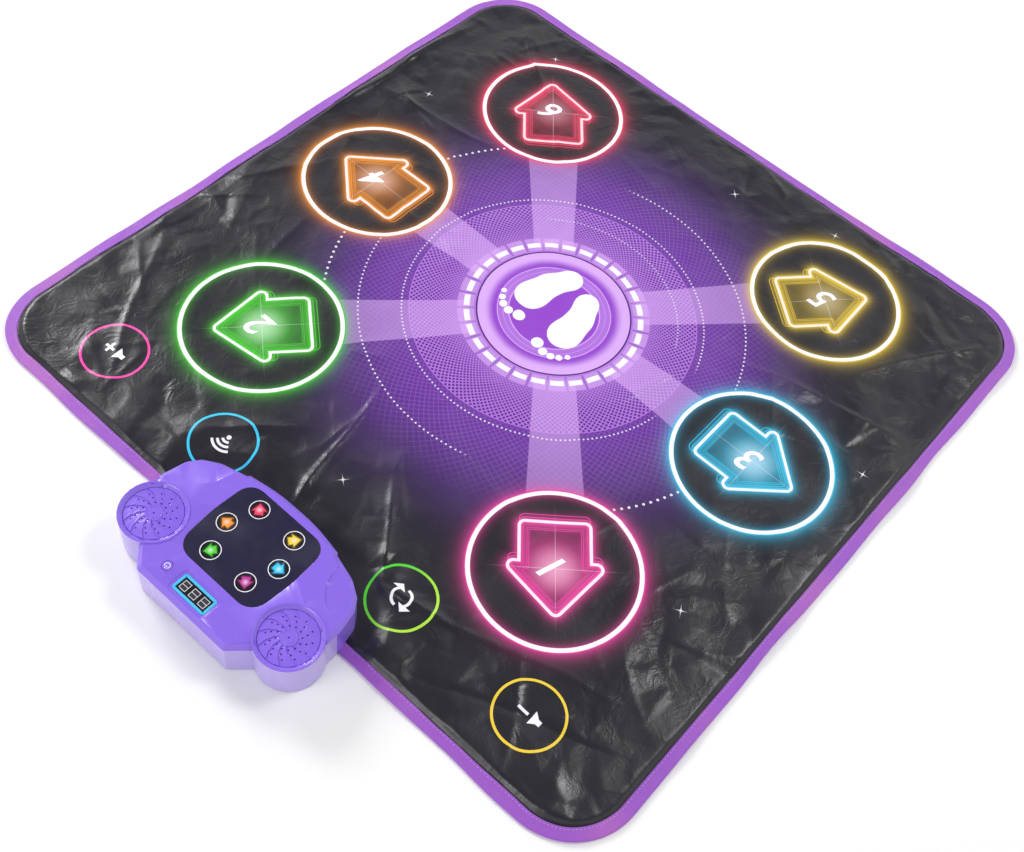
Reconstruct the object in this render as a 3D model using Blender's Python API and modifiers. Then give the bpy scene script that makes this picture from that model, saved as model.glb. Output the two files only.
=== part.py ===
"""Electronic dance mat: a sewn floor mat with ten press zones and a clamped control box.

Metres, +Z up. The origin is the centre of the mat's underside, on the floor.
The control box is clamped over the mat's edge on the -Y side.
Pads 5 and 6 are on the far side (+Y); a player on the mat faces the box.
"""

import math

import bmesh
import bpy
from mathutils import Matrix, Vector

# Clearances between pieces
GAP = 0.0003
PAD_CLEARANCE = 0.0004
HOLE_CLEARANCE = 0.0004
# How far a cutter reaches past the faces it opens
CLEAR = 0.0040

# Mat outline and layers, from the floor up
MAT_WIDTH = 0.920
MAT_DEPTH = 0.930
MAT_CORNER = 0.080
BASE_THICKNESS = 0.0016
FILM_THICKNESS = 0.00025
SPACER_THICKNESS = 0.0020
COVER_THICKNESS = 0.0006
CORE_INSET = 0.0190

# Sewn edge: a folded tape round the flattened rim of the cover and the base
TAPE_WIDTH = 0.0130
TAPE_THICKNESS = 0.0006
TAPE_WALL = 0.0008
RIM_SLOPE = 0.0045

# Step pads: two at the sides and four towards the corners of the pattern
PATTERN_Y = 0.037
SIDE_PAD_X = 0.306
CORNER_PAD_X = 0.2315
CORNER_PAD_Y = 0.2715
STEP_RADIUS = 0.1000
CONTACT_MARGIN = 0.0060
# Function pads, in two pairs along the box edge
OUTER_FUNCTION_X = 0.320
INNER_FUNCTION_X = 0.138
OUTER_FUNCTION_IN = 0.084
INNER_FUNCTION_IN = 0.087
FUNCTION_RADIUS = 0.0410

# Control box plan, in the box's own frame: x from its centre line, y from the mat's edge
BOX_WIDTH = 0.264
BOX_FAR = 0.0710
BOX_FRONT = 0.0905
FAR_FLAT = 0.028
FAR_BOW_RADIUS = 0.200
STEP_X = 0.066
FAR_DROP = 0.0068
STEP_RUN = 0.0022
STEP_FALL = 0.0026
STEP_ROUND = 0.0010
LEAST_ROUND = 0.0004
FRONT_CORNER_X = 0.0640
FRONT_ROUND = 0.0040
POD_RADIUS = 0.0373
POD_INSET = 0.0313
POD_BACK = 0.0370
# Shoulder corners: how far in from the side, how far back from the far edge, and the radius
SHOULDER = (
    (0.0330, 0.0180, 0.0300),
    (0.0150, 0.0290, 0.0100),
    (0.0055, 0.0420, 0.0150),
    (0.0, 0.0680, 0.0300),
)
# Where the straight flanks meet a pod, from the pod's centre, and the radius
FLANK_JOIN = (0.0160, 0.0030)
APRON_JOIN = (-0.0147, -0.0320, 0.0060)

# Control box heights
FOOT_HEIGHT = 0.0009
FLOOR_PLATE = 0.0024
WALL = 0.0022
BOX_HEIGHT = 0.0530
POD_PROUD = 0.0010
POD_CAP = 0.0020
TOP_PLATE = 0.0024
TOP_CHAMFER = 0.0050
LOBE_DROP = 0.0009
# The curved step behind each lowered far corner: how far in from the side, y and the radius
LOBE_EDGE = ((0.0300, 0.0110, 0.0180), (0.0480, 0.0300, 0.0200), (0.0540, 0.0560, 0.0100))
SEAM_BEHIND = 0.0010
REAR_SILL_HEIGHT = 0.0042

# Speaker pods
RIM_WIDTH = 0.0015
GRILLE_INSET = 0.0061
GRILLE_PLATE = 0.0017
GRILLE_DROP = 0.0040
GRILLE_CLEARANCE = 0.0005
VANES = 12
VANE_STEP = 0.0011
VANE_SWEEP = math.radians(30)
HUB_RADIUS = 0.0090
HUB_OVERLAP = 0.0004
HUB_RISE = 0.0002
HUB_GROOVE_RADIUS = 0.0070
HUB_GROOVE_WIDTH = 0.0008
HUB_GROOVE_DEPTH = 0.0004
HOLE_RADIUS = 0.0010
HOLE_RINGS = (0.0132, 0.0188, 0.0240)
HOLE_SWEEP = math.radians(16)
LEDGE_WIDTH = 0.0055
LEDGE_THICKNESS = 0.0017
RIM_LIP = 0.0007
DRIVER_LAP = 0.0008
DRIVER_HEIGHT = 0.0210
DRIVER_MAGNET = 0.0150
DRIVER_FLANGE = 0.0012
DRIVER_SURROUND = 0.0030
CONE_DEPTH = 0.0060
CAP_RADIUS = 0.0095

# Indicator window and its board
WINDOW_HALF = 0.0600
WINDOW_FAR = 0.0585
WINDOW_FRONT = 0.0460
WINDOW_TAPER = 0.0030
WINDOW_FRONT_TAPER = 0.0040
WINDOW_FAR_ROUND = 0.0190
WINDOW_FRONT_ROUND = 0.0210
WINDOW_BOW_RADIUS = 0.1500
WINDOW_THICKNESS = 0.0012
WINDOW_PROUD = 0.0001
LIGHT_WELL_RADIUS = 0.0090
INDICATORS = ((0.0260, 0.0405), (0.0390, 0.0070), (0.0260, -0.0265))
BOARD_THICKNESS = 0.0016
INDICATOR_BOARD_DROP = 0.0060
INDICATOR_BOARD_MARGIN = 0.0120
BOARD_PEG_OUT = 0.0070
BOARD_PEG_SPREAD = 0.0190
DISPLAY_PEG_OUT = 0.0060
PEG_RADIUS = 0.0018
LED_SIZE = 0.0035
LED_HEIGHT = 0.0015

# Display, power button and their board
DISPLAY_X = 0.0
DISPLAY_Y = -0.0700
DISPLAY_HALF_X = 0.0235
DISPLAY_HALF_Y = 0.0105
BEZEL_WIDTH = 0.0030
BEZEL_THICKNESS = 0.0016
BEZEL_PROUD = 0.0004
DISH_MARGIN = 0.0035
DISH_DEPTH = 0.0008
DISH_ROUND = 0.0050
BEZEL_ROUND = 0.0030
EYE_ROUND = 0.0004
MODULE_RECESS = 0.0006
DISPLAY_BOARD_DROP = 0.0120
BUTTON_X = -0.0430
BUTTON_Y = -0.0680
BUTTON_RADIUS = 0.0056
BUTTON_RING = 0.0014
BUTTON_RING_PROUD = 0.0005
BUTTON_PROUD = 0.0010
BUTTON_STEM = 0.0022
BUTTON_TRAVEL = 0.0008
BUTTON_FLANGE = 0.0010
BUTTON_FLANGE_THICKNESS = 0.0008
BUTTON_EDGE = 0.0006
BUTTON_DISH = 0.0002
SWITCH_SIZE = 0.0060
SWITCH_DROP = 0.0070
SWITCH_STEM = 0.0016
SWITCH_STEM_SHOWS = 0.0008
DISPLAY_BOARD_MARGIN = 0.0020

# Main board and battery bay
BOARD_OVER_BAY = 0.0033
MAIN_BOARD_HALF_X = 0.0560
MAIN_BOARD_FAR = -0.0090
MAIN_BOARD_FRONT = -0.0640
POST_INSET = 0.0055
POST_RADIUS = 0.0030
# Chips on the main board: x, y, half the side, and the height
CHIPS = ((-0.030, -0.040, 0.010, 0.0022), (0.010, -0.040, 0.007, 0.0018), (0.036, -0.030, 0.005, 0.008))
JACK_MARGIN = 0.0030
JACK_HEIGHT = 0.0050
JACK_DEPTH = 0.0060
JACK_SET_BACK = 0.0010
CELL_RADIUS = 0.00725
CELL_LENGTH = 0.0503
CELL_COUNT = 3
CELL_SPACING = 0.0005
BAY_Y = -0.0420
BAY_WALL = 0.0016
BAY_HEAD_ROOM = 0.0025
CONTACT_ROOM = 0.0022
CONTACT_THICKNESS = 0.0004
CONTACT_NUB = 0.0040
DOOR_THICKNESS = 0.0018
DOOR_MARGIN = 0.0030
DOOR_TAB_RADIUS = 0.0055
DOOR_SCREW_OUT = 0.0030
DOOR_SCREW_LENGTH = 0.0060
DOOR_BOSS_RADIUS = 0.0032
DOOR_BOSS_HEIGHT = 0.0080
DOOR_RIBS = 5
DOOR_RIB_WIDTH = 0.0012
DOOR_RIB_DEPTH = 0.0005
NUB_RADIUS = 0.0027
NUB_LENGTH = 0.0014
CELL_EDGE = 0.0006

# Screws, pillars and feet
SCREW_RADIUS = 0.00125
SCREW_HEAD_RADIUS = 0.0028
SCREW_HEAD_HEIGHT = 0.0018
SCREW_LENGTH = 0.0180
SCREW_TIP = 0.0010
CLAMP_SCREW_LENGTH = 0.0140
PILLAR_RADIUS = 0.0036
CLAMP_PILLAR_RADIUS = 0.0041
BOSS_RADIUS = 0.0050
BOSS_OVER_SEAT = 0.0077
SCREW_SEAT_Z = 0.0200
SCREW_ROOM = 0.0010
# Pillars: the front and far ones by x, the flank ones by how far in from the side
FRONT_PILLAR = (0.0600, -0.0745)
FLANK_PILLAR = (0.0100, -0.0085)
FAR_CLAMP_PILLAR = (0.0400, 0.0590)
FLANK_CLAMP_PILLAR = (0.0290, 0.0345)
CLAMP_PLATE_IN = 0.0180
CLAMP_PLATE_FAR = 0.0660
CLAMP_PLATE_NEAR = 0.0200
CLAMP_PLATE_THICKNESS = 0.0014
CLAMP_PLATE_CORNER = 0.0060
FOOT_RADIUS = 0.0060
FOOT_RECESS = 0.0010
POD_FOOT = (0.0073, -0.0120)
FRONT_FOOT = (0.0450, -0.0805)

# Contact tail between the films and the main board
TAIL_WIDTH = 0.0400
TAIL_THICKNESS = 0.0004
TAIL_SLOT_FAR = 0.0340
TAIL_SLOT_NEAR = 0.0180
TAIL_BEND = 0.0040

# Facets
STEP_FACETS = 28
FUNCTION_FACETS = 16
HIDDEN_STEP_FACETS = 16
HIDDEN_FUNCTION_FACETS = 10
POD_FACETS = 32
PILLAR_FACETS = 10
BORE_FACETS = 8
WELL_FACETS = 14
BUTTON_FACETS = 24
HOLE_FACETS = 6

# Worked out from the sizes above
MAT_EDGE_Y = -MAT_DEPTH / 2
LOWER_FILM_Z = BASE_THICKNESS + GAP
SPACER_Z = LOWER_FILM_Z + FILM_THICKNESS + GAP
UPPER_FILM_Z = SPACER_Z + SPACER_THICKNESS + GAP
COVER_Z = UPPER_FILM_Z + FILM_THICKNESS + GAP
COVER_TOP = COVER_Z + COVER_THICKNESS
RIM_BASE_Z = TAPE_THICKNESS + GAP
RIM_COVER_Z = BASE_THICKNESS + GAP
TAPE_TOP = RIM_COVER_Z + COVER_THICKNESS + GAP + TAPE_THICKNESS
PAD_TRAVEL = UPPER_FILM_Z - LOWER_FILM_Z - FILM_THICKNESS - GAP
POD_X = BOX_WIDTH / 2 - POD_INSET
TOP_Z = BOX_HEIGHT - POD_PROUD
PARTING_Z = TOP_Z - TOP_CHAMFER
POD_PARTING_Z = BOX_HEIGHT - POD_CAP
GRILLE_RADIUS = POD_RADIUS - GRILLE_INSET
GRILLE_EDGE_Z = BOX_HEIGHT - GRILLE_DROP
DRIVER_RADIUS = GRILLE_RADIUS + GRILLE_CLEARANCE - LEDGE_WIDTH + DRIVER_LAP
INDICATOR_BOARD_TOP = TOP_Z - TOP_PLATE - INDICATOR_BOARD_DROP
DISPLAY_BOARD_TOP = TOP_Z - DISPLAY_BOARD_DROP
SWITCH_TOP = TOP_Z - SWITCH_DROP
CELL_PITCH = 2 * CELL_RADIUS + CELL_SPACING
BAY_HEIGHT = 2 * CELL_RADIUS + BAY_HEAD_ROOM
MAIN_BOARD_Z = FOOT_HEIGHT + DOOR_THICKNESS + BAY_HEIGHT + BOARD_OVER_BAY
BOSS_TOP = SCREW_SEAT_Z + BOSS_OVER_SEAT
HOUSING_PILLARS = (FRONT_PILLAR, (BOX_WIDTH / 2 - FLANK_PILLAR[0], FLANK_PILLAR[1]))
CLAMP_PILLARS = (FAR_CLAMP_PILLAR, (BOX_WIDTH / 2 - FLANK_CLAMP_PILLAR[0], FLANK_CLAMP_PILLAR[1]))
CLAMP_PLATE_X = BOX_WIDTH / 2 - CLAMP_PLATE_IN
FEET = ((POD_X + POD_FOOT[0], POD_FOOT[1] - POD_BACK), FRONT_FOOT)
SHELL_FLOOR_Z = FOOT_HEIGHT + FLOOR_PLATE
IN_FLOOR_Z = FOOT_HEIGHT + FLOOR_PLATE / 2
IN_TOP_Z = TOP_Z - TOP_PLATE * 0.6

COLLECTION = bpy.data.collections.new("electronic_dance_mat")
CUTTERS = bpy.data.collections.new("cutters")


def start_scene():
    """Empties the scene and adds the two collections."""
    for old in list(bpy.data.objects):
        bpy.data.objects.remove(old, do_unlink=True)
    bpy.context.scene.collection.children.link(COLLECTION)
    bpy.context.scene.collection.children.link(CUTTERS)


def plastic(name, colour, roughness, metallic=0.0):
    """A Principled material with one colour."""
    material = bpy.data.materials.new(name)
    material.use_nodes = True
    shader = material.node_tree.nodes["Principled BSDF"]
    shader.inputs["Base Color"].default_value = (*colour, 1.0)
    shader.inputs["Roughness"].default_value = roughness
    shader.inputs["Metallic"].default_value = metallic
    return material


def keep(obj, colour, roughness, metallic=0.0):
    """Files a finished piece in the object's collection with its own material."""
    for holder in list(obj.users_collection):
        holder.objects.unlink(obj)
    COLLECTION.objects.link(obj)
    obj.data.materials.clear()
    obj.data.materials.append(plastic(obj.name, colour, roughness, metallic))
    return obj


def scratch(name, bm):
    """A mesh object made from a bmesh, kept with the cutters until it is filed."""
    mesh = bpy.data.meshes.new(name)
    bm.to_mesh(mesh)
    bm.free()
    obj = bpy.data.objects.new(name, mesh)
    CUTTERS.objects.link(obj)
    return obj


def baked(obj, name):
    """Replaces an object by the mesh that its curve or modifiers evaluate to."""
    bpy.context.view_layer.update()
    graph = bpy.context.evaluated_depsgraph_get()
    mesh = bpy.data.meshes.new_from_object(obj.evaluated_get(graph))
    bm = bmesh.new()
    bm.from_mesh(mesh)
    bm.transform(obj.matrix_world)
    bmesh.ops.remove_doubles(bm, verts=bm.verts, dist=1e-6)
    bmesh.ops.dissolve_degenerate(bm, edges=bm.edges, dist=1e-6)
    bmesh.ops.recalc_face_normals(bm, faces=bm.faces)
    bpy.data.objects.remove(obj, do_unlink=True)
    bpy.data.meshes.remove(mesh)
    return scratch(name, bm)


def combine(obj, tool, operation):
    """Applies one exact Boolean to a piece and removes the tool."""
    name = obj.name
    modifier = obj.modifiers.new("combine", "BOOLEAN")
    modifier.operation = operation
    modifier.solver = "EXACT"
    modifier.object = tool
    result = baked(obj, name)
    bpy.data.objects.remove(tool, do_unlink=True)
    result.name = name
    return result


def cut(obj, *tools):
    """Cuts each tool from a piece in turn."""
    for tool in tools:
        obj = combine(obj, tool, "DIFFERENCE")
    return obj


def join(obj, *tools):
    """Joins each tool to a piece in turn."""
    for tool in tools:
        obj = combine(obj, tool, "UNION")
    return obj


def circle(x, y, radius, facets):
    """The points of a circle, anticlockwise."""
    turns = [2 * math.pi * i / facets for i in range(facets)]
    return [(x + radius * math.cos(a), y + radius * math.sin(a)) for a in turns]


def round_hole(x, y, radius, facets):
    """The points of a circle whose flats, not its corners, lie at the radius."""
    return circle(x, y, radius / math.cos(math.pi / facets), facets)


def inset_corners(corners, distance):
    """Moves every edge of a clockwise corner list inwards and returns its new corners."""
    moved = []
    count = len(corners)
    for i, (x, y, radius) in enumerate(corners):
        before = Vector(corners[i - 1][:2])
        here = Vector((x, y))
        after = Vector(corners[(i + 1) % count][:2])
        way_in = (here - before).normalized()
        way_out = (after - here).normalized()
        normal_in = Vector((way_in.y, -way_in.x))
        normal_out = Vector((way_out.y, -way_out.x))
        mitre = (normal_in + normal_out) / (1 + normal_in.dot(normal_out))
        convex = way_in.cross(way_out) < 0
        rounder = radius - distance if convex else radius + distance
        moved.append((*(here + mitre * distance), max(rounder, LEAST_ROUND)))
    return moved


def rounded(corners, facets=5):
    """The points of a clockwise corner list with each corner rounded by an arc."""
    points = []
    count = len(corners)
    for i, (x, y, radius) in enumerate(corners):
        here = Vector((x, y))
        to_before = (Vector(corners[i - 1][:2]) - here).normalized()
        to_after = (Vector(corners[(i + 1) % count][:2]) - here).normalized()
        half = to_before.angle(to_after) / 2
        reach = radius / math.tan(half)
        centre = here + (to_before + to_after).normalized() * radius / math.sin(half)
        first = here + to_before * reach - centre
        last = here + to_after * reach - centre
        swing = first.angle_signed(last)
        for step in range(facets + 1):
            spoke = first.copy()
            spoke.rotate(Matrix.Rotation(-swing * step / facets, 2))
            points.append(tuple(centre + spoke))
    return points


def prism(name, outlines, low, high):
    """A flat plate from an outline and its holes, as a filled 2D curve."""
    curve = bpy.data.curves.new(name, "CURVE")
    curve.dimensions = "2D"
    curve.fill_mode = "BOTH"
    curve.extrude = (high - low) / 2
    for outline in outlines:
        spline = curve.splines.new("POLY")
        spline.points.add(len(outline) - 1)
        for point, (x, y) in zip(spline.points, outline):
            point.co = (x, y, 0.0, 1.0)
        spline.use_cyclic_u = True
    obj = bpy.data.objects.new(name, curve)
    CUTTERS.objects.link(obj)
    obj.location.z = (low + high) / 2
    return baked(obj, name)


def loft(name, rings, closed=False):
    """Bridges outlines of equal count at their heights, capped unless it closes on itself."""
    bm = bmesh.new()
    loops = [[bm.verts.new((x, y, z)) for x, y in outline] for outline, z in rings]
    pairs = list(zip(loops, loops[1:]))
    if closed:
        pairs.append((loops[-1], loops[0]))
    else:
        bm.faces.new(loops[0])
        bm.faces.new(loops[-1])
    for lower, upper in pairs:
        for i in range(len(lower)):
            j = (i + 1) % len(lower)
            bm.faces.new((lower[i], lower[j], upper[j], upper[i]))
    bmesh.ops.recalc_face_normals(bm, faces=bm.faces)
    return scratch(name, bm)


def turned(name, profile, x=0.0, y=0.0, facets=POD_FACETS, ring=False):
    """Spins a profile of (radius, height) about a vertical axis with a Screw modifier."""
    bm = bmesh.new()
    points = [bm.verts.new((radius, 0.0, z)) for radius, z in profile]
    for a, b in zip(points, points[1:]):
        bm.edges.new((a, b))
    if ring:
        bm.edges.new((points[-1], points[0]))
    obj = scratch(name, bm)
    obj.location = (x, y, 0.0)
    screw = obj.modifiers.new("turn", "SCREW")
    screw.steps = facets
    screw.render_steps = facets
    screw.use_merge_vertices = True
    screw.merge_threshold = 0.00001
    return baked(obj, name)


def cylinder(name, x, y, radius, low, high, facets=16):
    """A plain cylinder between two heights."""
    bm = bmesh.new()
    bmesh.ops.create_cone(
        bm, cap_ends=True, segments=facets, radius1=radius, radius2=radius, depth=high - low
    )
    bmesh.ops.translate(bm, verts=bm.verts, vec=(x, y, (low + high) / 2))
    return scratch(name, bm)


def block(name, low, high):
    """A box between two corners."""
    bm = bmesh.new()
    bmesh.ops.create_cube(bm, size=1.0)
    size = [b - a for a, b in zip(low, high)]
    bmesh.ops.scale(bm, verts=bm.verts, vec=size)
    bmesh.ops.translate(bm, verts=bm.verts, vec=[(a + b) / 2 for a, b in zip(low, high)])
    return scratch(name, bm)


def box_y(y):
    """A distance from the mat's edge, in the box's plan, as a world Y."""
    return MAT_EDGE_Y + y


def both_sides(places):
    """Each place and its mirror image, in world X and Y."""
    return [(side * x, box_y(y)) for x, y in places for side in (1, -1)]


def mat_corners(inset=0.0):
    """The mat's rounded rectangle, clockwise, drawn in by an inset."""
    x = MAT_WIDTH / 2 - inset
    y = MAT_DEPTH / 2 - inset
    radius = MAT_CORNER - inset
    return [(-x, y, radius), (x, y, radius), (x, -y, radius), (-x, -y, radius)]


def mat_outline(inset=0.0):
    """The mat's outline drawn in by an inset."""
    return rounded(mat_corners(inset), facets=6)


def step_pads():
    """Step pad numbers and their centres."""
    far, near = PATTERN_Y + CORNER_PAD_Y, PATTERN_Y - CORNER_PAD_Y
    return {
        1: (CORNER_PAD_X, near),
        2: (-CORNER_PAD_X, near),
        3: (SIDE_PAD_X, PATTERN_Y),
        4: (-SIDE_PAD_X, PATTERN_Y),
        5: (CORNER_PAD_X, far),
        6: (-CORNER_PAD_X, far),
    }


def function_pads():
    """Function pad names and their centres."""
    return {
        "volume_up_pad": (-OUTER_FUNCTION_X, box_y(OUTER_FUNCTION_IN)),
        "volume_down_pad": (OUTER_FUNCTION_X, box_y(OUTER_FUNCTION_IN)),
        "wireless_pad": (-INNER_FUNCTION_X, box_y(INNER_FUNCTION_IN)),
        "mode_pad": (INNER_FUNCTION_X, box_y(INNER_FUNCTION_IN)),
    }


def pad_holes(step_facets, function_facets):
    """The outlines of the ten holes that the pads move in."""
    holes = [round_hole(x, y, STEP_RADIUS, step_facets) for x, y in step_pads().values()]
    for x, y in function_pads().values():
        holes.append(round_hole(x, y, FUNCTION_RADIUS, function_facets))
    return holes


def screw_holes():
    """The outlines of the clamp screws' holes through a mat layer."""
    radius = SCREW_RADIUS + HOLE_CLEARANCE
    return [round_hole(x, y, radius, BORE_FACETS) for x, y in both_sides(CLAMP_PILLARS)]


def tail_slot():
    """The outline of the slot that the contact tail rises through."""
    half = TAIL_WIDTH / 2 + 3 * GAP
    far, near = box_y(TAIL_SLOT_FAR), box_y(TAIL_SLOT_NEAR)
    return [(-half, near), (half, near), (half, far), (-half, far)]


def make_mat():
    """The mat's sewn layers."""
    x, far, near = CLAMP_PLATE_X, box_y(CLAMP_PLATE_FAR), box_y(CLAMP_PLATE_NEAR)
    plate = [(-x, far), (x, far), (x, near), (-x, near)]
    clamp = [(*corner, CLAMP_PLATE_CORNER) for corner in plate]
    under_tape = TAPE_WIDTH + GAP
    in_tape = TAPE_WALL + GAP
    base = loft(
        "non_slip_base",
        [
            (mat_outline(under_tape), 0.0),
            (mat_outline(under_tape), RIM_BASE_Z),
            (mat_outline(in_tape), RIM_BASE_Z),
            (mat_outline(in_tape), BASE_THICKNESS),
        ],
    )
    pocket = rounded(inset_corners(clamp, -GAP), facets=3)
    base = cut(base, prism("pocket", [pocket], -CLEAR, BASE_THICKNESS + CLEAR))
    keep(base, (0.02, 0.02, 0.022), 0.85)

    clamp_plate = prism(
        "mat_clamp_plate", [rounded(clamp, facets=3)], GAP / 3, GAP / 3 + CLAMP_PLATE_THICKNESS
    )
    for px, py in both_sides(CLAMP_PILLARS):
        clamp_plate = cut(clamp_plate, countersink(px, py, HOLE_CLEARANCE))
    keep(clamp_plate, (0.05, 0.05, 0.06), 0.6)

    core = mat_outline(CORE_INSET)
    film_top = LOWER_FILM_Z + FILM_THICKNESS
    lower_film = prism("lower_contact_film", [core, *screw_holes()], LOWER_FILM_Z, film_top)
    keep(lower_film, (0.75, 0.75, 0.72), 0.3)
    openings = [*pad_holes(HIDDEN_STEP_FACETS, HIDDEN_FUNCTION_FACETS), *screw_holes()]
    spacer_top = SPACER_Z + SPACER_THICKNESS
    keep(prism("foam_spacer", [core, *openings], SPACER_Z, spacer_top), (0.85, 0.85, 0.83), 0.9)
    film_top = UPPER_FILM_Z + FILM_THICKNESS
    upper_film = prism("upper_contact_film", [core, *openings], UPPER_FILM_Z, film_top)
    keep(upper_film, (0.75, 0.75, 0.72), 0.3)

    foot_of_slope = TAPE_WIDTH + GAP
    top_of_slope = foot_of_slope + RIM_SLOPE
    rim_top = RIM_COVER_Z + COVER_THICKNESS
    cover = loft(
        "mat_top_cover",
        [
            (mat_outline(top_of_slope + GAP), COVER_Z),
            (mat_outline(foot_of_slope + GAP), RIM_COVER_Z),
            (mat_outline(in_tape), RIM_COVER_Z),
            (mat_outline(in_tape), rim_top),
            (mat_outline(foot_of_slope), rim_top),
            (mat_outline(top_of_slope), COVER_TOP),
        ],
    )
    openings = [*pad_holes(STEP_FACETS, FUNCTION_FACETS), *screw_holes(), tail_slot()]
    for i, hole in enumerate(openings):
        cover = cut(cover, prism(f"opening_{i}", [hole], COVER_Z - CLEAR, COVER_TOP + CLEAR))
    keep(cover, (0.03, 0.03, 0.035), 0.3)

    tape = loft(
        "edge_binding",
        [
            (mat_outline(), 0.0),
            (mat_outline(), TAPE_TOP),
            (mat_outline(TAPE_WIDTH), TAPE_TOP),
            (mat_outline(TAPE_WIDTH), TAPE_TOP - TAPE_THICKNESS),
            (mat_outline(TAPE_WALL), TAPE_TOP - TAPE_THICKNESS),
            (mat_outline(TAPE_WALL), TAPE_THICKNESS),
            (mat_outline(TAPE_WIDTH), TAPE_THICKNESS),
            (mat_outline(TAPE_WIDTH), 0.0),
        ],
        closed=True,
    )
    keep(tape, (0.42, 0.12, 0.68), 0.55)


def countersink(x, y, clearance):
    """The shape of a flat screw head in the clamp plate, grown by a clearance."""
    top = GAP / 3 + CLAMP_PLATE_THICKNESS
    above = top + CLEAR
    head = SCREW_HEAD_RADIUS + clearance + GAP
    shank = SCREW_RADIUS + clearance
    profile = [(0.0, above), (shank, above), (shank, top), (head, 0.0), (head, -CLEAR), (0.0, -CLEAR)]
    return turned("countersink", profile, x, y, facets=BORE_FACETS)


def make_pads():
    """The ten press zones: a disc of cover with its contact patch bonded below."""
    pads = {f"step_pad_{n}": place for n, place in step_pads().items()}
    sizes = {name: (STEP_RADIUS, STEP_FACETS) for name in pads}
    for name, place in function_pads().items():
        pads[name] = place
        sizes[name] = (FUNCTION_RADIUS, FUNCTION_FACETS)
    for name, (x, y) in pads.items():
        hole, facets = sizes[name]
        disc = hole - PAD_CLEARANCE
        patch = disc - CONTACT_MARGIN
        profile = [
            (0.0, COVER_TOP),
            (disc, COVER_TOP),
            (disc, COVER_Z),
            (patch, COVER_Z),
            (patch, UPPER_FILM_Z),
            (0.0, UPPER_FILM_Z),
        ]
        keep(turned(name, profile, x, y, facets), (0.04, 0.04, 0.045), 0.3)


def box_corners(inset=0.0):
    """The control box's plan without its pods, clockwise from the far left, drawn in by an inset."""
    half = BOX_WIDTH / 2
    right = [
        (FAR_FLAT, BOX_FAR, FAR_BOW_RADIUS),
        (STEP_X, BOX_FAR - FAR_DROP, STEP_ROUND),
        (STEP_X + STEP_RUN, BOX_FAR - FAR_DROP - STEP_FALL, STEP_ROUND),
    ]
    right += [(half - x, BOX_FAR - y, radius) for x, y, radius in SHOULDER]
    flank_y, flank_round = FLANK_JOIN
    apron_x, apron_y, apron_round = APRON_JOIN
    right += [
        (half, flank_y - POD_BACK, flank_round),
        (POD_X + apron_x, apron_y - POD_BACK, apron_round),
        (FRONT_CORNER_X, -BOX_FRONT, FRONT_ROUND),
    ]
    left = [(-x, y, radius) for x, y, radius in reversed(right)]
    corners = [(x, box_y(y), radius) for x, y, radius in [*right, *left]]
    return inset_corners(corners, inset) if inset else corners


def box_outline(inset=0.0):
    """The control box's outline drawn in by an inset."""
    return rounded(box_corners(inset), facets=3)


def pods():
    """The centres of the two speaker pods."""
    return {"left": (-POD_X, box_y(-POD_BACK)), "right": (POD_X, box_y(-POD_BACK))}


def window_corners(inset=0.0):
    """The indicator window's bowed outline, clockwise, drawn in by an inset."""
    right = [
        (WINDOW_HALF - WINDOW_TAPER, WINDOW_FAR, WINDOW_FAR_ROUND),
        (WINDOW_HALF, (WINDOW_FAR - WINDOW_FRONT) / 2, WINDOW_BOW_RADIUS),
        (WINDOW_HALF - WINDOW_FRONT_TAPER, -WINDOW_FRONT, WINDOW_FRONT_ROUND),
    ]
    left = [(-x, y, radius) for x, y, radius in reversed(right)]
    corners = [(x, box_y(y), radius) for x, y, radius in [*right, *left]]
    return inset_corners(corners, inset) if inset else corners


def beyond_seam(low, high, margin):
    """A block over everything on the mat's side of the seam between the shells."""
    seam = box_y(-SEAM_BEHIND) + margin
    return block("beyond_seam", (-BOX_WIDTH, seam, low), (BOX_WIDTH, seam + MAT_DEPTH, high))


def before_seam(low, high, margin):
    """A block over everything on the front side of the seam between the shells."""
    seam = box_y(-SEAM_BEHIND) - margin
    return block("before_seam", (-BOX_WIDTH, seam - MAT_DEPTH, low), (BOX_WIDTH, seam, high))


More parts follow.
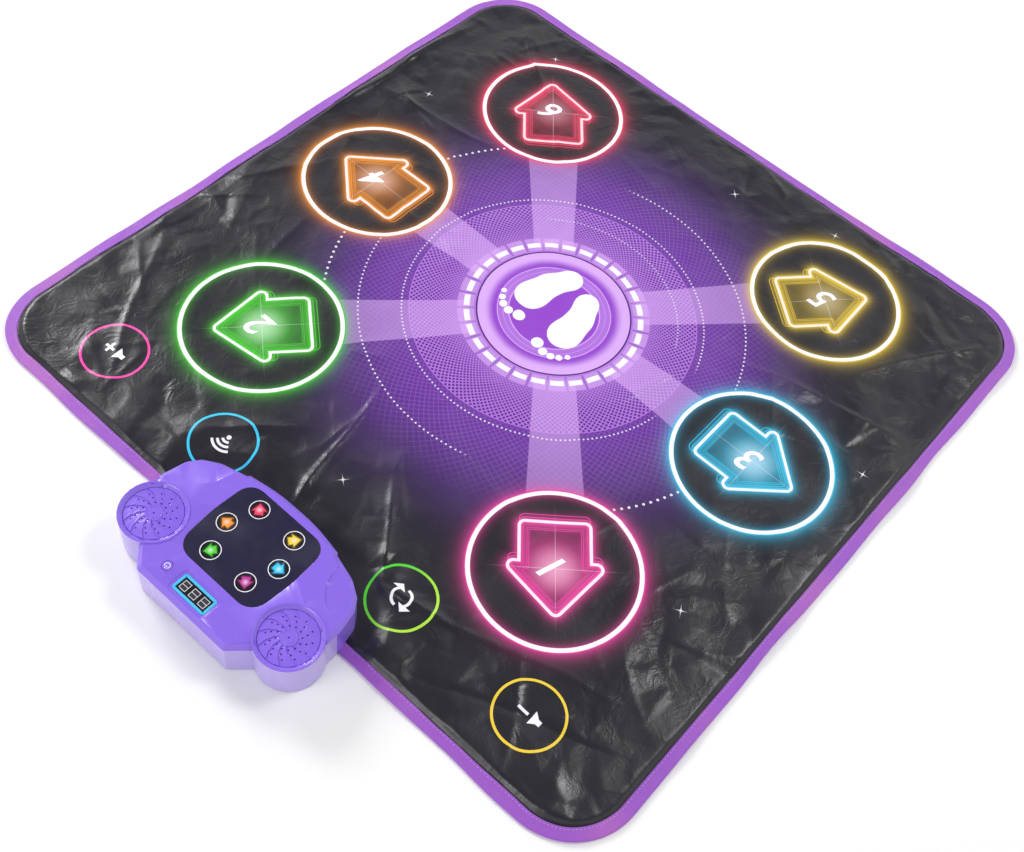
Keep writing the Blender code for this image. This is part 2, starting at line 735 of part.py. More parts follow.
def make_lower_shell():
    """The floor-standing tray with its pod walls, screw bosses and battery bay."""
    shell = prism("lower_shell", [box_outline()], FOOT_HEIGHT, PARTING_Z - GAP)
    for x, y in pods().values():
        shell = join(
            shell,
            cylinder("pod", x, y, POD_RADIUS, FOOT_HEIGHT, POD_PARTING_Z - GAP, POD_FACETS),
        )
    above = TOP_Z + CLEAR
    hollow = prism("hollow", [box_outline(WALL)], SHELL_FLOOR_Z, above)
    for x, y in pods().values():
        inside = cylinder("pod", x, y, POD_RADIUS - WALL, SHELL_FLOOR_Z, above, POD_FACETS)
        hollow = join(hollow, inside)
    shell = cut(shell, hollow)
    shell = cut(shell, beyond_seam(-CLEAR, TOP_Z, -GAP / 2))
    sill_far = box_y(-SEAM_BEHIND) - GAP / 2
    sill_half = BOX_WIDTH / 2 - WALL / 2
    sill = block(
        "sill",
        (-sill_half, sill_far - WALL, IN_FLOOR_Z),
        (sill_half, sill_far, SHELL_FLOOR_Z + REAR_SILL_HEIGHT),
    )
    shell = join(shell, sill)
    bore = SCREW_RADIUS + HOLE_CLEARANCE
    sink = SCREW_HEAD_RADIUS + HOLE_CLEARANCE
    for x, y in both_sides(HOUSING_PILLARS):
        shell = join(shell, cylinder("boss", x, y, BOSS_RADIUS, IN_FLOOR_Z, BOSS_TOP, PILLAR_FACETS))
        shell = cut(
            shell,
            cylinder("sink", x, y, sink, -CLEAR, SCREW_SEAT_Z, PILLAR_FACETS),
            cylinder("bore", x, y, bore, 0.0, BOSS_TOP + CLEAR, BORE_FACETS),
        )
    shell = add_battery_bay(shell)
    for x, y in main_board_posts():
        post = cylinder("post", x, y, POST_RADIUS, IN_FLOOR_Z, MAIN_BOARD_Z - GAP, BORE_FACETS)
        shell = join(shell, post)
    for x, y in both_sides(FEET):
        top = FOOT_HEIGHT + FOOT_RECESS
        shell = cut(shell, cylinder("recess", x, y, FOOT_RADIUS + GAP, 0.0, top))
    keep(shell, (0.44, 0.36, 0.80), 0.35)


def bay_half():
    """Half the battery bay's clear length and width."""
    half_x = CELL_LENGTH / 2 + CONTACT_ROOM
    half_y = CELL_PITCH * (CELL_COUNT - 1) / 2 + CELL_RADIUS + 2 * GAP
    return half_x, half_y


def add_battery_bay(shell):
    """Adds the bay's walls, its opening in the floor and the door's rebate."""
    half_x, half_y = bay_half()
    y = box_y(BAY_Y)
    outer_x, outer_y = half_x + BAY_WALL, half_y + BAY_WALL
    top = FOOT_HEIGHT + DOOR_THICKNESS + BAY_HEIGHT
    shell = join(
        shell, block("bay", (-outer_x, y - outer_y, IN_FLOOR_Z), (outer_x, y + outer_y, top))
    )
    door_x, door_y = half_x + DOOR_MARGIN, half_y + DOOR_MARGIN
    door_top = FOOT_HEIGHT + DOOR_THICKNESS
    screw_x, screw_y = door_screw_place()
    boss_top = door_top + GAP + DOOR_BOSS_HEIGHT
    boss = cylinder("boss", screw_x, screw_y, DOOR_BOSS_RADIUS, IN_FLOOR_Z, boss_top, PILLAR_FACETS)
    shell = join(shell, boss)
    bore_top = boss_top - GAP
    return cut(
        shell,
        block("well", (-half_x, y - half_y, -CLEAR), (half_x, y + half_y, TOP_Z)),
        block("rebate", (-door_x, y - door_y, -CLEAR), (door_x, y + door_y, door_top + GAP)),
        cylinder("tab", screw_x, screw_y, DOOR_TAB_RADIUS + GAP, -CLEAR, door_top + GAP),
        cylinder("bore", screw_x, screw_y, SCREW_RADIUS + GAP, -CLEAR, bore_top, PILLAR_FACETS),
    )


def door_screw_place():
    """The battery door's screw, beyond the door's end on its screw tab."""
    half_x, _ = bay_half()
    return half_x + DOOR_MARGIN + DOOR_SCREW_OUT, box_y(BAY_Y)


def main_board_posts():
    """The four posts that the main board lies on."""
    x = MAIN_BOARD_HALF_X - POST_INSET
    far, front = MAIN_BOARD_FAR - POST_INSET, MAIN_BOARD_FRONT + POST_INSET
    return both_sides([(x, far), (x, front)])


def make_upper_shell():
    """The top cover: chamfered plate, deep skirt over the mat, pod rims, wells and pillars."""
    skirt_low = TAPE_TOP + GAP
    shell = loft(
        "upper_shell",
        [
            (box_outline(), skirt_low),
            (box_outline(), PARTING_Z),
            (box_outline(TOP_CHAMFER), TOP_Z),
        ],
    )
    hollow = loft(
        "hollow",
        [
            (box_outline(WALL), -CLEAR),
            (box_outline(WALL), PARTING_Z),
            (box_outline(WALL + TOP_CHAMFER - TOP_PLATE), TOP_Z - TOP_PLATE),
        ],
    )
    shell = cut(shell, hollow, before_seam(-CLEAR, PARTING_Z, -GAP / 2))
    slope_y = MAT_EDGE_Y + TAPE_WIDTH + GAP
    rest_z = COVER_TOP + GAP
    over_cover = (-BOX_WIDTH, slope_y, -CLEAR), (BOX_WIDTH, slope_y + BOX_WIDTH, rest_z)
    shell = cut(shell, block("over_cover", *over_cover))
    ledge_top = GRILLE_EDGE_Z - GRILLE_PLATE - GAP
    ledge_low = ledge_top - LEDGE_THICKNESS
    seat = GRILLE_RADIUS + GRILLE_CLEARANCE
    inner = POD_RADIUS - WALL - GAP
    rim_profile = [
        (POD_RADIUS, BOX_HEIGHT),
        (POD_RADIUS, POD_PARTING_Z),
        (inner, POD_PARTING_Z),
        (inner, ledge_low),
        (seat - LEDGE_WIDTH, ledge_low),
        (seat - LEDGE_WIDTH, ledge_top),
        (seat, ledge_top),
        (seat, GRILLE_EDGE_Z + RIM_LIP),
        (POD_RADIUS - RIM_WIDTH, BOX_HEIGHT),
    ]
    below, above = PARTING_Z / 2, TOP_Z + CLEAR
    for x, y in pods().values():
        shell = cut(shell, cylinder("mouth", x, y, inner - GAP, below, above, POD_FACETS))
        shell = join(shell, turned("rim", rim_profile, x, y, ring=True))
        ring = [
            (POD_RADIUS + GAP, below),
            (POD_RADIUS + GAP, POD_PARTING_Z),
            (inner, POD_PARTING_Z),
            (inner, below),
        ]
        groove = turned("groove", ring[::-1], x, y, ring=True)
        inside = prism("inside", [box_outline(WALL + GAP)], below - CLEAR, above)
        groove = cut(groove, inside)
        shell = cut(shell, groove)
    for x, y in both_sides(HOUSING_PILLARS):
        shell = join(shell, pillar(x, y, BOSS_TOP + GAP, PILLAR_RADIUS))
    for x, y in both_sides(CLAMP_PILLARS):
        shell = join(shell, pillar(x, y, rest_z, CLAMP_PILLAR_RADIUS))
    for x, y in both_sides(HOUSING_PILLARS):
        shell = cut(shell, pillar_bore(x, y, BOSS_TOP + GAP, SCREW_SEAT_Z - GAP + SCREW_LENGTH))
    for x, y in both_sides(CLAMP_PILLARS):
        shell = cut(shell, pillar_bore(x, y, rest_z, rest_z + CLAMP_SCREW_LENGTH))
    for places, board_top in ((board_pegs(), INDICATOR_BOARD_TOP), (display_pegs(), DISPLAY_BOARD_TOP)):
        for x, y in places:
            peg = cylinder("peg", x, y, PEG_RADIUS, board_top + GAP, IN_TOP_Z, BORE_FACETS)
            shell = join(shell, peg)
    shell = cut_openings(shell)
    shell = cut_lobes(shell)
    keep(shell, (0.33, 0.20, 0.86), 0.3)


def pillar(x, y, low, radius):
    """A screw pillar from the top plate down to a height."""
    return cylinder("pillar", x, y, radius, low, IN_TOP_Z, PILLAR_FACETS)


def pillar_bore(x, y, low, tip):
    """The pilot hole up a pillar, from its lower end to just past the screw's tip."""
    radius = SCREW_RADIUS + HOLE_CLEARANCE
    return cylinder("pilot", x, y, radius, low - CLEAR, tip + SCREW_ROOM, BORE_FACETS)


def board_pegs():
    """The pegs that locate the indicator board."""
    x, y = INDICATORS[1]
    x += BOARD_PEG_OUT
    return both_sides([(x, y + BOARD_PEG_SPREAD), (x, y - BOARD_PEG_SPREAD)])


def display_pegs():
    """The pegs that locate the display board."""
    x, y = DISPLAY_HALF_X + DISPLAY_PEG_OUT, DISPLAY_Y + DISPLAY_HALF_Y - PEG_RADIUS
    return [(-x, box_y(y)), (x, box_y(y))]


def cut_openings(shell):
    """Cuts the window's recess, light wells, display opening and button ring."""
    top = TOP_Z + CLEAR
    well_low = TOP_Z - TOP_PLATE - CLEAR
    recess_low = TOP_Z + WINDOW_PROUD - WINDOW_THICKNESS - GAP
    recess = rounded(window_corners(-GAP), facets=6)
    shell = cut(shell, prism("recess", [recess], recess_low, top))
    for x, y in both_sides(INDICATORS):
        shell = cut(shell, cylinder("well", x, y, LIGHT_WELL_RADIUS, well_low, top, WELL_FACETS))
    x, y = DISPLAY_X, box_y(DISPLAY_Y)
    dish_x, dish_y = DISPLAY_HALF_X + DISH_MARGIN, DISPLAY_HALF_Y + DISH_MARGIN
    dish = rounded_block(x, y, dish_x, dish_y, DISH_ROUND)
    shell = cut(shell, prism("dish", [dish], TOP_Z - DISH_DEPTH, top))
    seat = rounded_block(x, y, DISPLAY_HALF_X + GAP, DISPLAY_HALF_Y + GAP, BEZEL_ROUND)
    seat_z = TOP_Z - DISH_DEPTH + BEZEL_PROUD - BEZEL_THICKNESS
    shell = cut(shell, prism("seat", [seat], seat_z - GAP, top))
    inner_x, inner_y = DISPLAY_HALF_X - BEZEL_WIDTH + GAP, DISPLAY_HALF_Y - BEZEL_WIDTH + GAP
    low, high = (x - inner_x, y - inner_y, well_low), (x + inner_x, y + inner_y, top)
    shell = cut(shell, block("eye", low, high))
    bx, by = BUTTON_X, box_y(BUTTON_Y)
    hole = BUTTON_RADIUS + HOLE_CLEARANCE
    ring_top = TOP_Z + BUTTON_RING_PROUD
    raised = cylinder("ring", bx, by, hole + BUTTON_RING, IN_TOP_Z, ring_top, BUTTON_FACETS)
    shell = join(shell, raised)
    return cut(shell, cylinder("hole", bx, by, hole, well_low, top, BUTTON_FACETS))


def rounded_block(x, y, half_x, half_y, radius):
    """The outline of a rounded rectangle about a centre."""
    corners = [
        (x - half_x, y + half_y, radius),
        (x + half_x, y + half_y, radius),
        (x + half_x, y - half_y, radius),
        (x - half_x, y - half_y, radius),
    ]
    return rounded(corners, facets=3)


def cut_lobes(shell):
    """Lowers the two far corner lobes of the top plate behind their curved steps."""
    for side in (1, -1):
        beyond, lobe_y = BOX_FAR + BOX_WIDTH / 4, LOBE_EDGE[0][1]
        right = [
            (BOX_WIDTH / 2 - LOBE_EDGE[-1][0], beyond, STEP_ROUND),
            (BOX_WIDTH, beyond, STEP_ROUND),
            (BOX_WIDTH, lobe_y, STEP_ROUND),
            *[(BOX_WIDTH / 2 - x, y, radius) for x, y, radius in LOBE_EDGE],
        ]
        outline = [(side * x, box_y(y)) for x, y in rounded(right, facets=4)]
        shell = cut(shell, prism("lobe", [outline], TOP_Z - LOBE_DROP, TOP_Z + CLEAR))
    return shell


def make_grilles():
    """Two pinwheel grilles: overlapping curved vanes, a hub and swept rows of holes."""
    for side, (x, y) in pods().items():
        grille = pinwheel(f"speaker_grille_{side}", x, y)
        for hole in grille_holes(x, y):
            grille = cut(grille, hole)
        keep(grille, (0.33, 0.20, 0.86), 0.3)


def pinwheel(name, x, y):
    """A disc whose sectors slope round to a step, each step swept along a spiral."""
    bm = bmesh.new()
    columns = 2
    radii = [HUB_RADIUS + (GRILLE_RADIUS - HUB_RADIUS) * i / 3 for i in range(4)]
    plate_low = GRILLE_EDGE_Z - GRILLE_PLATE
    edge = GRILLE_RADIUS

    def spot(radius, angle, z):
        turn = angle + VANE_SWEEP * (radius - HUB_RADIUS) / (edge - HUB_RADIUS)
        return bm.verts.new((x + radius * math.cos(turn), y + radius * math.sin(turn), z))

    spokes = []
    for vane in range(VANES):
        for column in range(columns + 1):
            angle = 2 * math.pi * (vane + column / columns) / VANES
            rise = VANE_STEP * column / columns
            spokes.append([spot(radius, angle, GRILLE_EDGE_Z + rise) for radius in radii])
    for spoke, following in zip(spokes, spokes[1:] + spokes[:1]):
        for i in range(len(radii) - 1):
            bm.faces.new((spoke[i], spoke[i + 1], following[i + 1], following[i]))
    centre = bm.verts.new((x, y, GRILLE_EDGE_Z))
    rim = []
    for index in range(VANES * columns):
        rim.append(spot(edge, 2 * math.pi * index / (VANES * columns), plate_low))
    for i, spoke in enumerate(spokes):
        following = spokes[(i + 1) % len(spokes)]
        bm.faces.new((following[0], spoke[0], centre))
        vane, column = divmod(i, columns + 1)
        if column < columns:
            low = rim[vane * columns + column]
            next_low = rim[(vane * columns + column + 1) % len(rim)]
            wall = [low, next_low, following[-1], spoke[-1]]
            if column == columns - 1:
                wall.insert(2, spokes[(i + 2) % len(spokes)][-1])
            bm.faces.new(wall)
    bm.faces.new(rim[::-1])
    bmesh.ops.recalc_face_normals(bm, faces=bm.faces)
    disc = scratch(name, bm)
    hub_top = GRILLE_EDGE_Z + VANE_STEP + HUB_RISE
    hub_low = plate_low + GRILLE_PLATE / 4
    groove = hub_top - HUB_GROOVE_DEPTH
    inner, outer = HUB_GROOVE_RADIUS - HUB_GROOVE_WIDTH / 2, HUB_GROOVE_RADIUS + HUB_GROOVE_WIDTH / 2
    profile = [
        (0.0, hub_top),
        (inner - HUB_GROOVE_DEPTH, hub_top),
        (inner, groove),
        (outer, groove),
        (outer + HUB_GROOVE_DEPTH, hub_top),
        (HUB_RADIUS + HUB_OVERLAP, hub_top),
        (HUB_RADIUS + HUB_OVERLAP, hub_low),
        (0.0, hub_low),
    ]
    return join(disc, turned("hub", profile, x, y, facets=16))


def grille_holes(x, y):
    """The sound holes: one in the hub and a swept row of holes on every vane."""
    places = [(0.0, 0.0)]
    for vane in range(VANES):
        for ring, radius in enumerate(HOLE_RINGS):
            middle = 2 * math.pi * (vane + 0.75) / VANES
            places.append((radius, middle + HOLE_SWEEP * (ring - 1) / 2))
    for radius, angle in places:
        px, py = x + radius * math.cos(angle), y + radius * math.sin(angle)
        low, high = GRILLE_EDGE_Z - GRILLE_PLATE - CLEAR, GRILLE_EDGE_Z + VANE_STEP + CLEAR
        yield cylinder("hole", px, py, HOLE_RADIUS, low, high, HOLE_FACETS)


def make_drivers():
    """The loudspeaker behind each grille: flange, basket cone and magnet."""
    top = GRILLE_EDGE_Z - GRILLE_PLATE - GAP - LEDGE_THICKNESS - GAP
    for side, (x, y) in pods().items():
        profile = [
            (0.0, top - CONE_DEPTH * 0.7),
            (CAP_RADIUS * 0.7, top - CONE_DEPTH * 0.8),
            (CAP_RADIUS, top - CONE_DEPTH),
            (DRIVER_RADIUS - 1.6 * DRIVER_SURROUND, top - DRIVER_FLANGE),
            (DRIVER_RADIUS - DRIVER_SURROUND, top),
            (DRIVER_RADIUS, top),
            (DRIVER_RADIUS, top - DRIVER_FLANGE),
            (DRIVER_RADIUS - DRIVER_SURROUND, top - 1.5 * DRIVER_FLANGE),
            (DRIVER_MAGNET, top - DRIVER_HEIGHT * 0.55),
            (DRIVER_MAGNET, top - DRIVER_HEIGHT),
            (0.0, top - DRIVER_HEIGHT),
        ]
        keep(turned(f"speaker_driver_{side}", profile, x, y, facets=18), (0.05, 0.05, 0.05), 0.6)


def make_window():
    """The smoked window over the indicator lights, and the light board below it."""
    top = TOP_Z + WINDOW_PROUD
    outline = rounded(window_corners(), facets=6)
    window = prism("panel_window", [outline], top - WINDOW_THICKNESS, top)
    keep(window, (0.02, 0.02, 0.05), 0.12)
    margin = INDICATOR_BOARD_MARGIN
    half = INDICATORS[1][0] + margin
    far, front = box_y(INDICATORS[0][1] + margin), box_y(INDICATORS[2][1] - margin)
    board_top = INDICATOR_BOARD_TOP
    board = block(
        "indicator_board", (-half, front, board_top - BOARD_THICKNESS), (half, far, board_top)
    )
    size = LED_SIZE / 2
    for x, y in both_sides(INDICATORS):
        low = (x - size, y - size, board_top - BOARD_THICKNESS / 4)
        high = (x + size, y + size, board_top + LED_HEIGHT)
        board = join(board, block("led", low, high))
    keep(board, (0.02, 0.12, 0.05), 0.5)


def make_display():
    """The display's bezel, digit module, board and the power button with its switch."""
    x, y = DISPLAY_X, box_y(DISPLAY_Y)
    dish_z = TOP_Z - DISH_DEPTH
    bezel_top = dish_z + BEZEL_PROUD
    eye_x, eye_y = DISPLAY_HALF_X - BEZEL_WIDTH, DISPLAY_HALF_Y - BEZEL_WIDTH
    outer = rounded_block(x, y, DISPLAY_HALF_X, DISPLAY_HALF_Y, BEZEL_ROUND)
    eye = rounded_block(x, y, eye_x, eye_y, EYE_ROUND)
    bezel = prism("display_bezel", [outer, eye], bezel_top - BEZEL_THICKNESS, bezel_top)
    keep(bezel, (0.10, 0.62, 0.95), 0.3)
    board_top = DISPLAY_BOARD_TOP
    module = block(
        "display_module",
        (x - eye_x + GAP, y - eye_y + GAP, board_top + GAP),
        (x + eye_x - GAP, y + eye_y - GAP, bezel_top - MODULE_RECESS),
    )
    keep(module, (0.01, 0.01, 0.012), 0.2)
    margin = DISPLAY_BOARD_MARGIN
    low_x = BUTTON_X - SWITCH_SIZE / 2 - 2 * margin
    high_x = DISPLAY_HALF_X + DISPLAY_PEG_OUT + PEG_RADIUS + margin / 2
    low_y, high_y = y - DISPLAY_HALF_Y - margin / 2, y + DISPLAY_HALF_Y + margin
    board = block(
        "display_board", (low_x, low_y, board_top - BOARD_THICKNESS), (high_x, high_y, board_top)
    )
    keep(board, (0.02, 0.12, 0.05), 0.5)

    bx, by = BUTTON_X, box_y(BUTTON_Y)
    half = SWITCH_SIZE / 2
    body = block(
        "power_switch",
        (bx - half, by - half, board_top + GAP),
        (bx + half, by + half, SWITCH_TOP - SWITCH_STEM_SHOWS),
    )
    stem_low = board_top + 2 * GAP
    switch = join(body, cylinder("stem", bx, by, SWITCH_STEM, stem_low, SWITCH_TOP, PILLAR_FACETS))
    keep(switch, (0.1, 0.1, 0.1), 0.4)
    cap_top = TOP_Z + BUTTON_PROUD
    under = SWITCH_TOP + GAP + BUTTON_TRAVEL
    flange_top = TOP_Z - TOP_PLATE - GAP
    flange = BUTTON_RADIUS + BUTTON_FLANGE
    profile = [
        (0.0, cap_top - BUTTON_DISH),
        (BUTTON_RADIUS * 0.6, cap_top - BUTTON_DISH / 2),
        (BUTTON_RADIUS - BUTTON_EDGE, cap_top),
        (BUTTON_RADIUS, cap_top - BUTTON_EDGE),
        (BUTTON_RADIUS, flange_top),
        (flange, flange_top),
        (flange, flange_top - BUTTON_FLANGE_THICKNESS),
        (BUTTON_STEM, flange_top - BUTTON_FLANGE_THICKNESS - BUTTON_DISH),
        (BUTTON_STEM, under),
        (0.0, under),
    ]
    keep(turned("power_button", profile, bx, by, facets=18), (0.33, 0.20, 0.86), 0.3)


def make_main_board():
    """The main board with its chips, and the contact tail that plugs into it."""
    half = MAIN_BOARD_HALF_X
    far, front = box_y(MAIN_BOARD_FAR), box_y(MAIN_BOARD_FRONT)
    top = MAIN_BOARD_Z + BOARD_THICKNESS
    board = block("main_board", (-half, front, MAIN_BOARD_Z), (half, far, top))
    sunk = top - BOARD_THICKNESS / 4
    for x, y, size, height in CHIPS:
        low = (x - size, box_y(y) - size, sunk)
        board = join(board, block("chip", low, (x + size, box_y(y) + size, top + height)))
    jack = TAIL_WIDTH / 2 + JACK_MARGIN
    jack_far = far - JACK_SET_BACK
    jack_low = (-jack, jack_far - JACK_DEPTH, sunk)
    board = join(board, block("jack", jack_low, (jack, jack_far, top + JACK_HEIGHT)))
    slot = TAIL_WIDTH / 2 + GAP
    slot_z = top + JACK_HEIGHT / 2
    slot_half = TAIL_THICKNESS / 2 + GAP
    low = (-slot, jack_far - 0.75 * JACK_DEPTH, slot_z - slot_half)
    board = cut(board, block("slot", low, (slot, far + CLEAR, slot_z + slot_half)))
    keep(board, (0.02, 0.12, 0.05), 0.5)

    lying = UPPER_FILM_Z + FILM_THICKNESS + GAP + TAIL_THICKNESS / 2
    slot_far, slot_near = box_y(TAIL_SLOT_FAR), box_y(TAIL_SLOT_NEAR)
    path = [
        (slot_far - TAIL_BEND / 4, lying),
        (slot_near + 1.5 * TAIL_BEND, lying),
        (slot_near + TAIL_BEND / 4, lying + 0.75 * TAIL_BEND),
        (box_y(2 * TAIL_BEND), lying + 1.5 * TAIL_BEND),
        (box_y(TAIL_BEND / 2), slot_z - TAIL_BEND / 2),
        (box_y(-TAIL_BEND / 2), slot_z),
        (jack_far - TAIL_BEND, slot_z),
    ]
    keep(ribbon("contact_tail", path, TAIL_WIDTH, TAIL_THICKNESS), (0.75, 0.75, 0.72), 0.3)


def ribbon(name, path, width, thickness):
    """A flat strip that follows a path of (y, z) points, centred on x = 0."""
    bm = bmesh.new()
    loops = []
    for i, (y, z) in enumerate(path):
        before = Vector(path[max(i - 1, 0)])
        after = Vector(path[min(i + 1, len(path) - 1)])
        along = (after - before).normalized()
        across = Vector((-along.y, along.x)) * thickness / 2
        low, high = Vector((y, z)) - across, Vector((y, z)) + across
        corners = [(-width / 2, low), (width / 2, low), (width / 2, high), (-width / 2, high)]
        loops.append([bm.verts.new((x, spot.x, spot.y)) for x, spot in corners])
    bm.faces.new(loops[0])
    bm.faces.new(loops[-1])
    for here, there in zip(loops, loops[1:]):
        for i in range(4):
            j = (i + 1) % 4
            bm.faces.new((here[i], here[j], there[j], there[i]))
    bmesh.ops.recalc_face_normals(bm, faces=bm.faces)
    return scratch(name, bm)


def make_batteries():
    """The cells with their contacts, and the screwed battery door."""
    half_x, half_y = bay_half()
    bay_y = box_y(BAY_Y)
    door_top = FOOT_HEIGHT + DOOR_THICKNESS
    axis_z = door_top + GAP + CELL_RADIUS
    for i in range(CELL_COUNT):
        y = bay_y + CELL_PITCH * (i - (CELL_COUNT - 1) / 2)
        keep(cell(f"battery_cell_{i + 1}", y, axis_z, 1 if i % 2 else -1), (0.1, 0.1, 0.1), 0.35)
    reach = CONTACT_ROOM - CONTACT_THICKNESS - 3 * GAP
    nub_half = CONTACT_NUB / 2
    for end, side in (("left", -1), ("right", 1)):
        wall = side * (half_x - GAP)
        face = wall - side * CONTACT_THICKNESS
        inside, tip = wall - side * CONTACT_THICKNESS / 2, face - side * reach
        plate = block(
            f"battery_contact_{end}",
            (min(wall, face), bay_y - half_y + 3 * GAP, door_top + CELL_RADIUS / 4),
            (max(wall, face), bay_y + half_y - 3 * GAP, door_top + 2 * CELL_RADIUS),
        )
        for i in range(CELL_COUNT):
            y = bay_y + CELL_PITCH * (i - (CELL_COUNT - 1) / 2)
            low = (min(inside, tip), y - nub_half, axis_z - nub_half)
            high = (max(inside, tip), y + nub_half, axis_z + nub_half)
            plate = join(plate, block("nub", low, high))
        keep(plate, (0.7, 0.7, 0.68), 0.25, 1.0)

    margin = DOOR_MARGIN - GAP
    door = block(
        "battery_door",
        (-half_x - margin, bay_y - half_y - margin, FOOT_HEIGHT),
        (half_x + margin, bay_y + half_y + margin, door_top),
    )
    screw_x, screw_y = door_screw_place()
    door = join(door, cylinder("tab", screw_x, screw_y, DOOR_TAB_RADIUS, FOOT_HEIGHT, door_top))
    for i in range(DOOR_RIBS):
        rib = half_x * (i - (DOOR_RIBS - 1) / 2) / (DOOR_RIBS - 1)
        low = (rib - DOOR_RIB_WIDTH / 2, bay_y - half_y / 2, 0.0)
        high = (rib + DOOR_RIB_WIDTH / 2, bay_y + half_y / 2, FOOT_HEIGHT + DOOR_RIB_DEPTH)
        door = cut(door, block("rib", low, high))
    head_low, head_top = FOOT_HEIGHT + GAP / 2, FOOT_HEIGHT + DOOR_THICKNESS / 2
    head, shank = SCREW_HEAD_RADIUS + HOLE_CLEARANCE, SCREW_RADIUS + GAP
    door = cut(
        door,
        cylinder("sink", screw_x, screw_y, head, 0.0, head_top + GAP, PILLAR_FACETS),
        cylinder("bore", screw_x, screw_y, shank, 0.0, door_top + CLEAR, PILLAR_FACETS),
    )
    keep(door, (0.44, 0.36, 0.80), 0.4)
    tip_z = door_top + DOOR_SCREW_LENGTH
    profile = [
        (0.0, tip_z),
        (SCREW_RADIUS, tip_z),
        (SCREW_RADIUS, head_top),
        (SCREW_HEAD_RADIUS, head_top),
        (SCREW_HEAD_RADIUS, head_low),
        (0.0, head_low),
    ]
    screw = turned("battery_door_screw", profile, screw_x, screw_y, facets=PILLAR_FACETS)
    keep(screw, (0.6, 0.6, 0.6), 0.3, 1.0)


def cell(name, y, z, side):
    """A round dry cell lying along X with its positive nub to one side."""
    half = CELL_LENGTH / 2
    shoulder = half - NUB_LENGTH
    profile = [
        (0.0, half),
        (NUB_RADIUS, half),
        (NUB_RADIUS, shoulder),
        (CELL_RADIUS - CELL_EDGE, shoulder),
        (CELL_RADIUS, shoulder - CELL_EDGE),
        (CELL_RADIUS, -half + CELL_EDGE),
        (CELL_RADIUS - CELL_EDGE, -half),
        (0.0, -half),
    ]
    obj = turned(name, profile, facets=16)
    for vertex in obj.data.vertices:
        along, across = vertex.co.z, vertex.co.x
        vertex.co = (side * along, y + vertex.co.y, z - side * across)
    return obj


def make_fasteners():
    """Housing screws, clamp screws and rubber feet."""
    for i, (x, y) in enumerate(both_sides(HOUSING_PILLARS)):
        seat = SCREW_SEAT_Z - GAP
        profile = [
            (0.0, seat + SCREW_LENGTH),
            (SCREW_RADIUS, seat + SCREW_LENGTH - SCREW_TIP),
            (SCREW_RADIUS, seat),
            (SCREW_HEAD_RADIUS, seat),
            (SCREW_HEAD_RADIUS - SCREW_TIP / 2, seat - SCREW_HEAD_HEIGHT),
            (0.0, seat - SCREW_HEAD_HEIGHT),
        ]
        screw = turned(f"housing_screw_{i + 1}", profile, x, y, facets=BORE_FACETS)
        keep(screw, (0.6, 0.6, 0.6), 0.3, 1.0)
    for i, (x, y) in enumerate(both_sides(CLAMP_PILLARS)):
        low = GAP / 3
        top = low + CLAMP_PLATE_THICKNESS
        end = COVER_TOP + GAP + CLAMP_SCREW_LENGTH
        head_low = low + GAP / 3
        profile = [
            (0.0, end),
            (SCREW_RADIUS, end - SCREW_TIP),
            (SCREW_RADIUS, top),
            (SCREW_HEAD_RADIUS, head_low),
            (0.0, head_low),
        ]
        screw = turned(f"clamp_screw_{i + 1}", profile, x, y, facets=BORE_FACETS)
        keep(screw, (0.6, 0.6, 0.6), 0.3, 1.0)
    for i, (x, y) in enumerate(both_sides(FEET)):
        top = FOOT_HEIGHT + FOOT_RECESS - GAP
        keep(cylinder(f"rubber_foot_{i + 1}", x, y, FOOT_RADIUS, 0.0, top), (0.02, 0.02, 0.02), 0.9)


def shade_round():
    """Shades round faces smooth and leaves real edges sharp."""
    for obj in COLLECTION.objects:
        obj.data.shade_smooth()
        obj.data.set_sharp_from_angle(angle=math.radians(35))


def main():
    """Builds every piece of the dance mat."""
    start_scene()
    make_mat()
    make_pads()
    make_lower_shell()
    make_upper_shell()
    make_grilles()
    make_drivers()
    make_window()
    make_display()
    make_main_board()
    make_batteries()
    make_fasteners()
    shade_round()


main()
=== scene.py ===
"""Electronic dance mat: the looks of every piece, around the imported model.

Metres, +Z up, in the model's own frame. The origin is the centre of the mat's underside, and the control
box is clamped over the edge at -Y. The printed cover, its press zones and the binding are new meshes that
share one map of folds. The control box keeps the model's shapes, with rounded edges and moulded finishes.
"""

from __future__ import annotations

import logging
import math
from dataclasses import dataclass
from enum import Enum
from functools import partial
from typing import Callable, Iterator, Sequence

import bmesh
import bpy
import numpy as np
from mathutils import Matrix, Vector
from mathutils.bvhtree import BVHTree
from mathutils.geometry import delaunay_2d_cdt


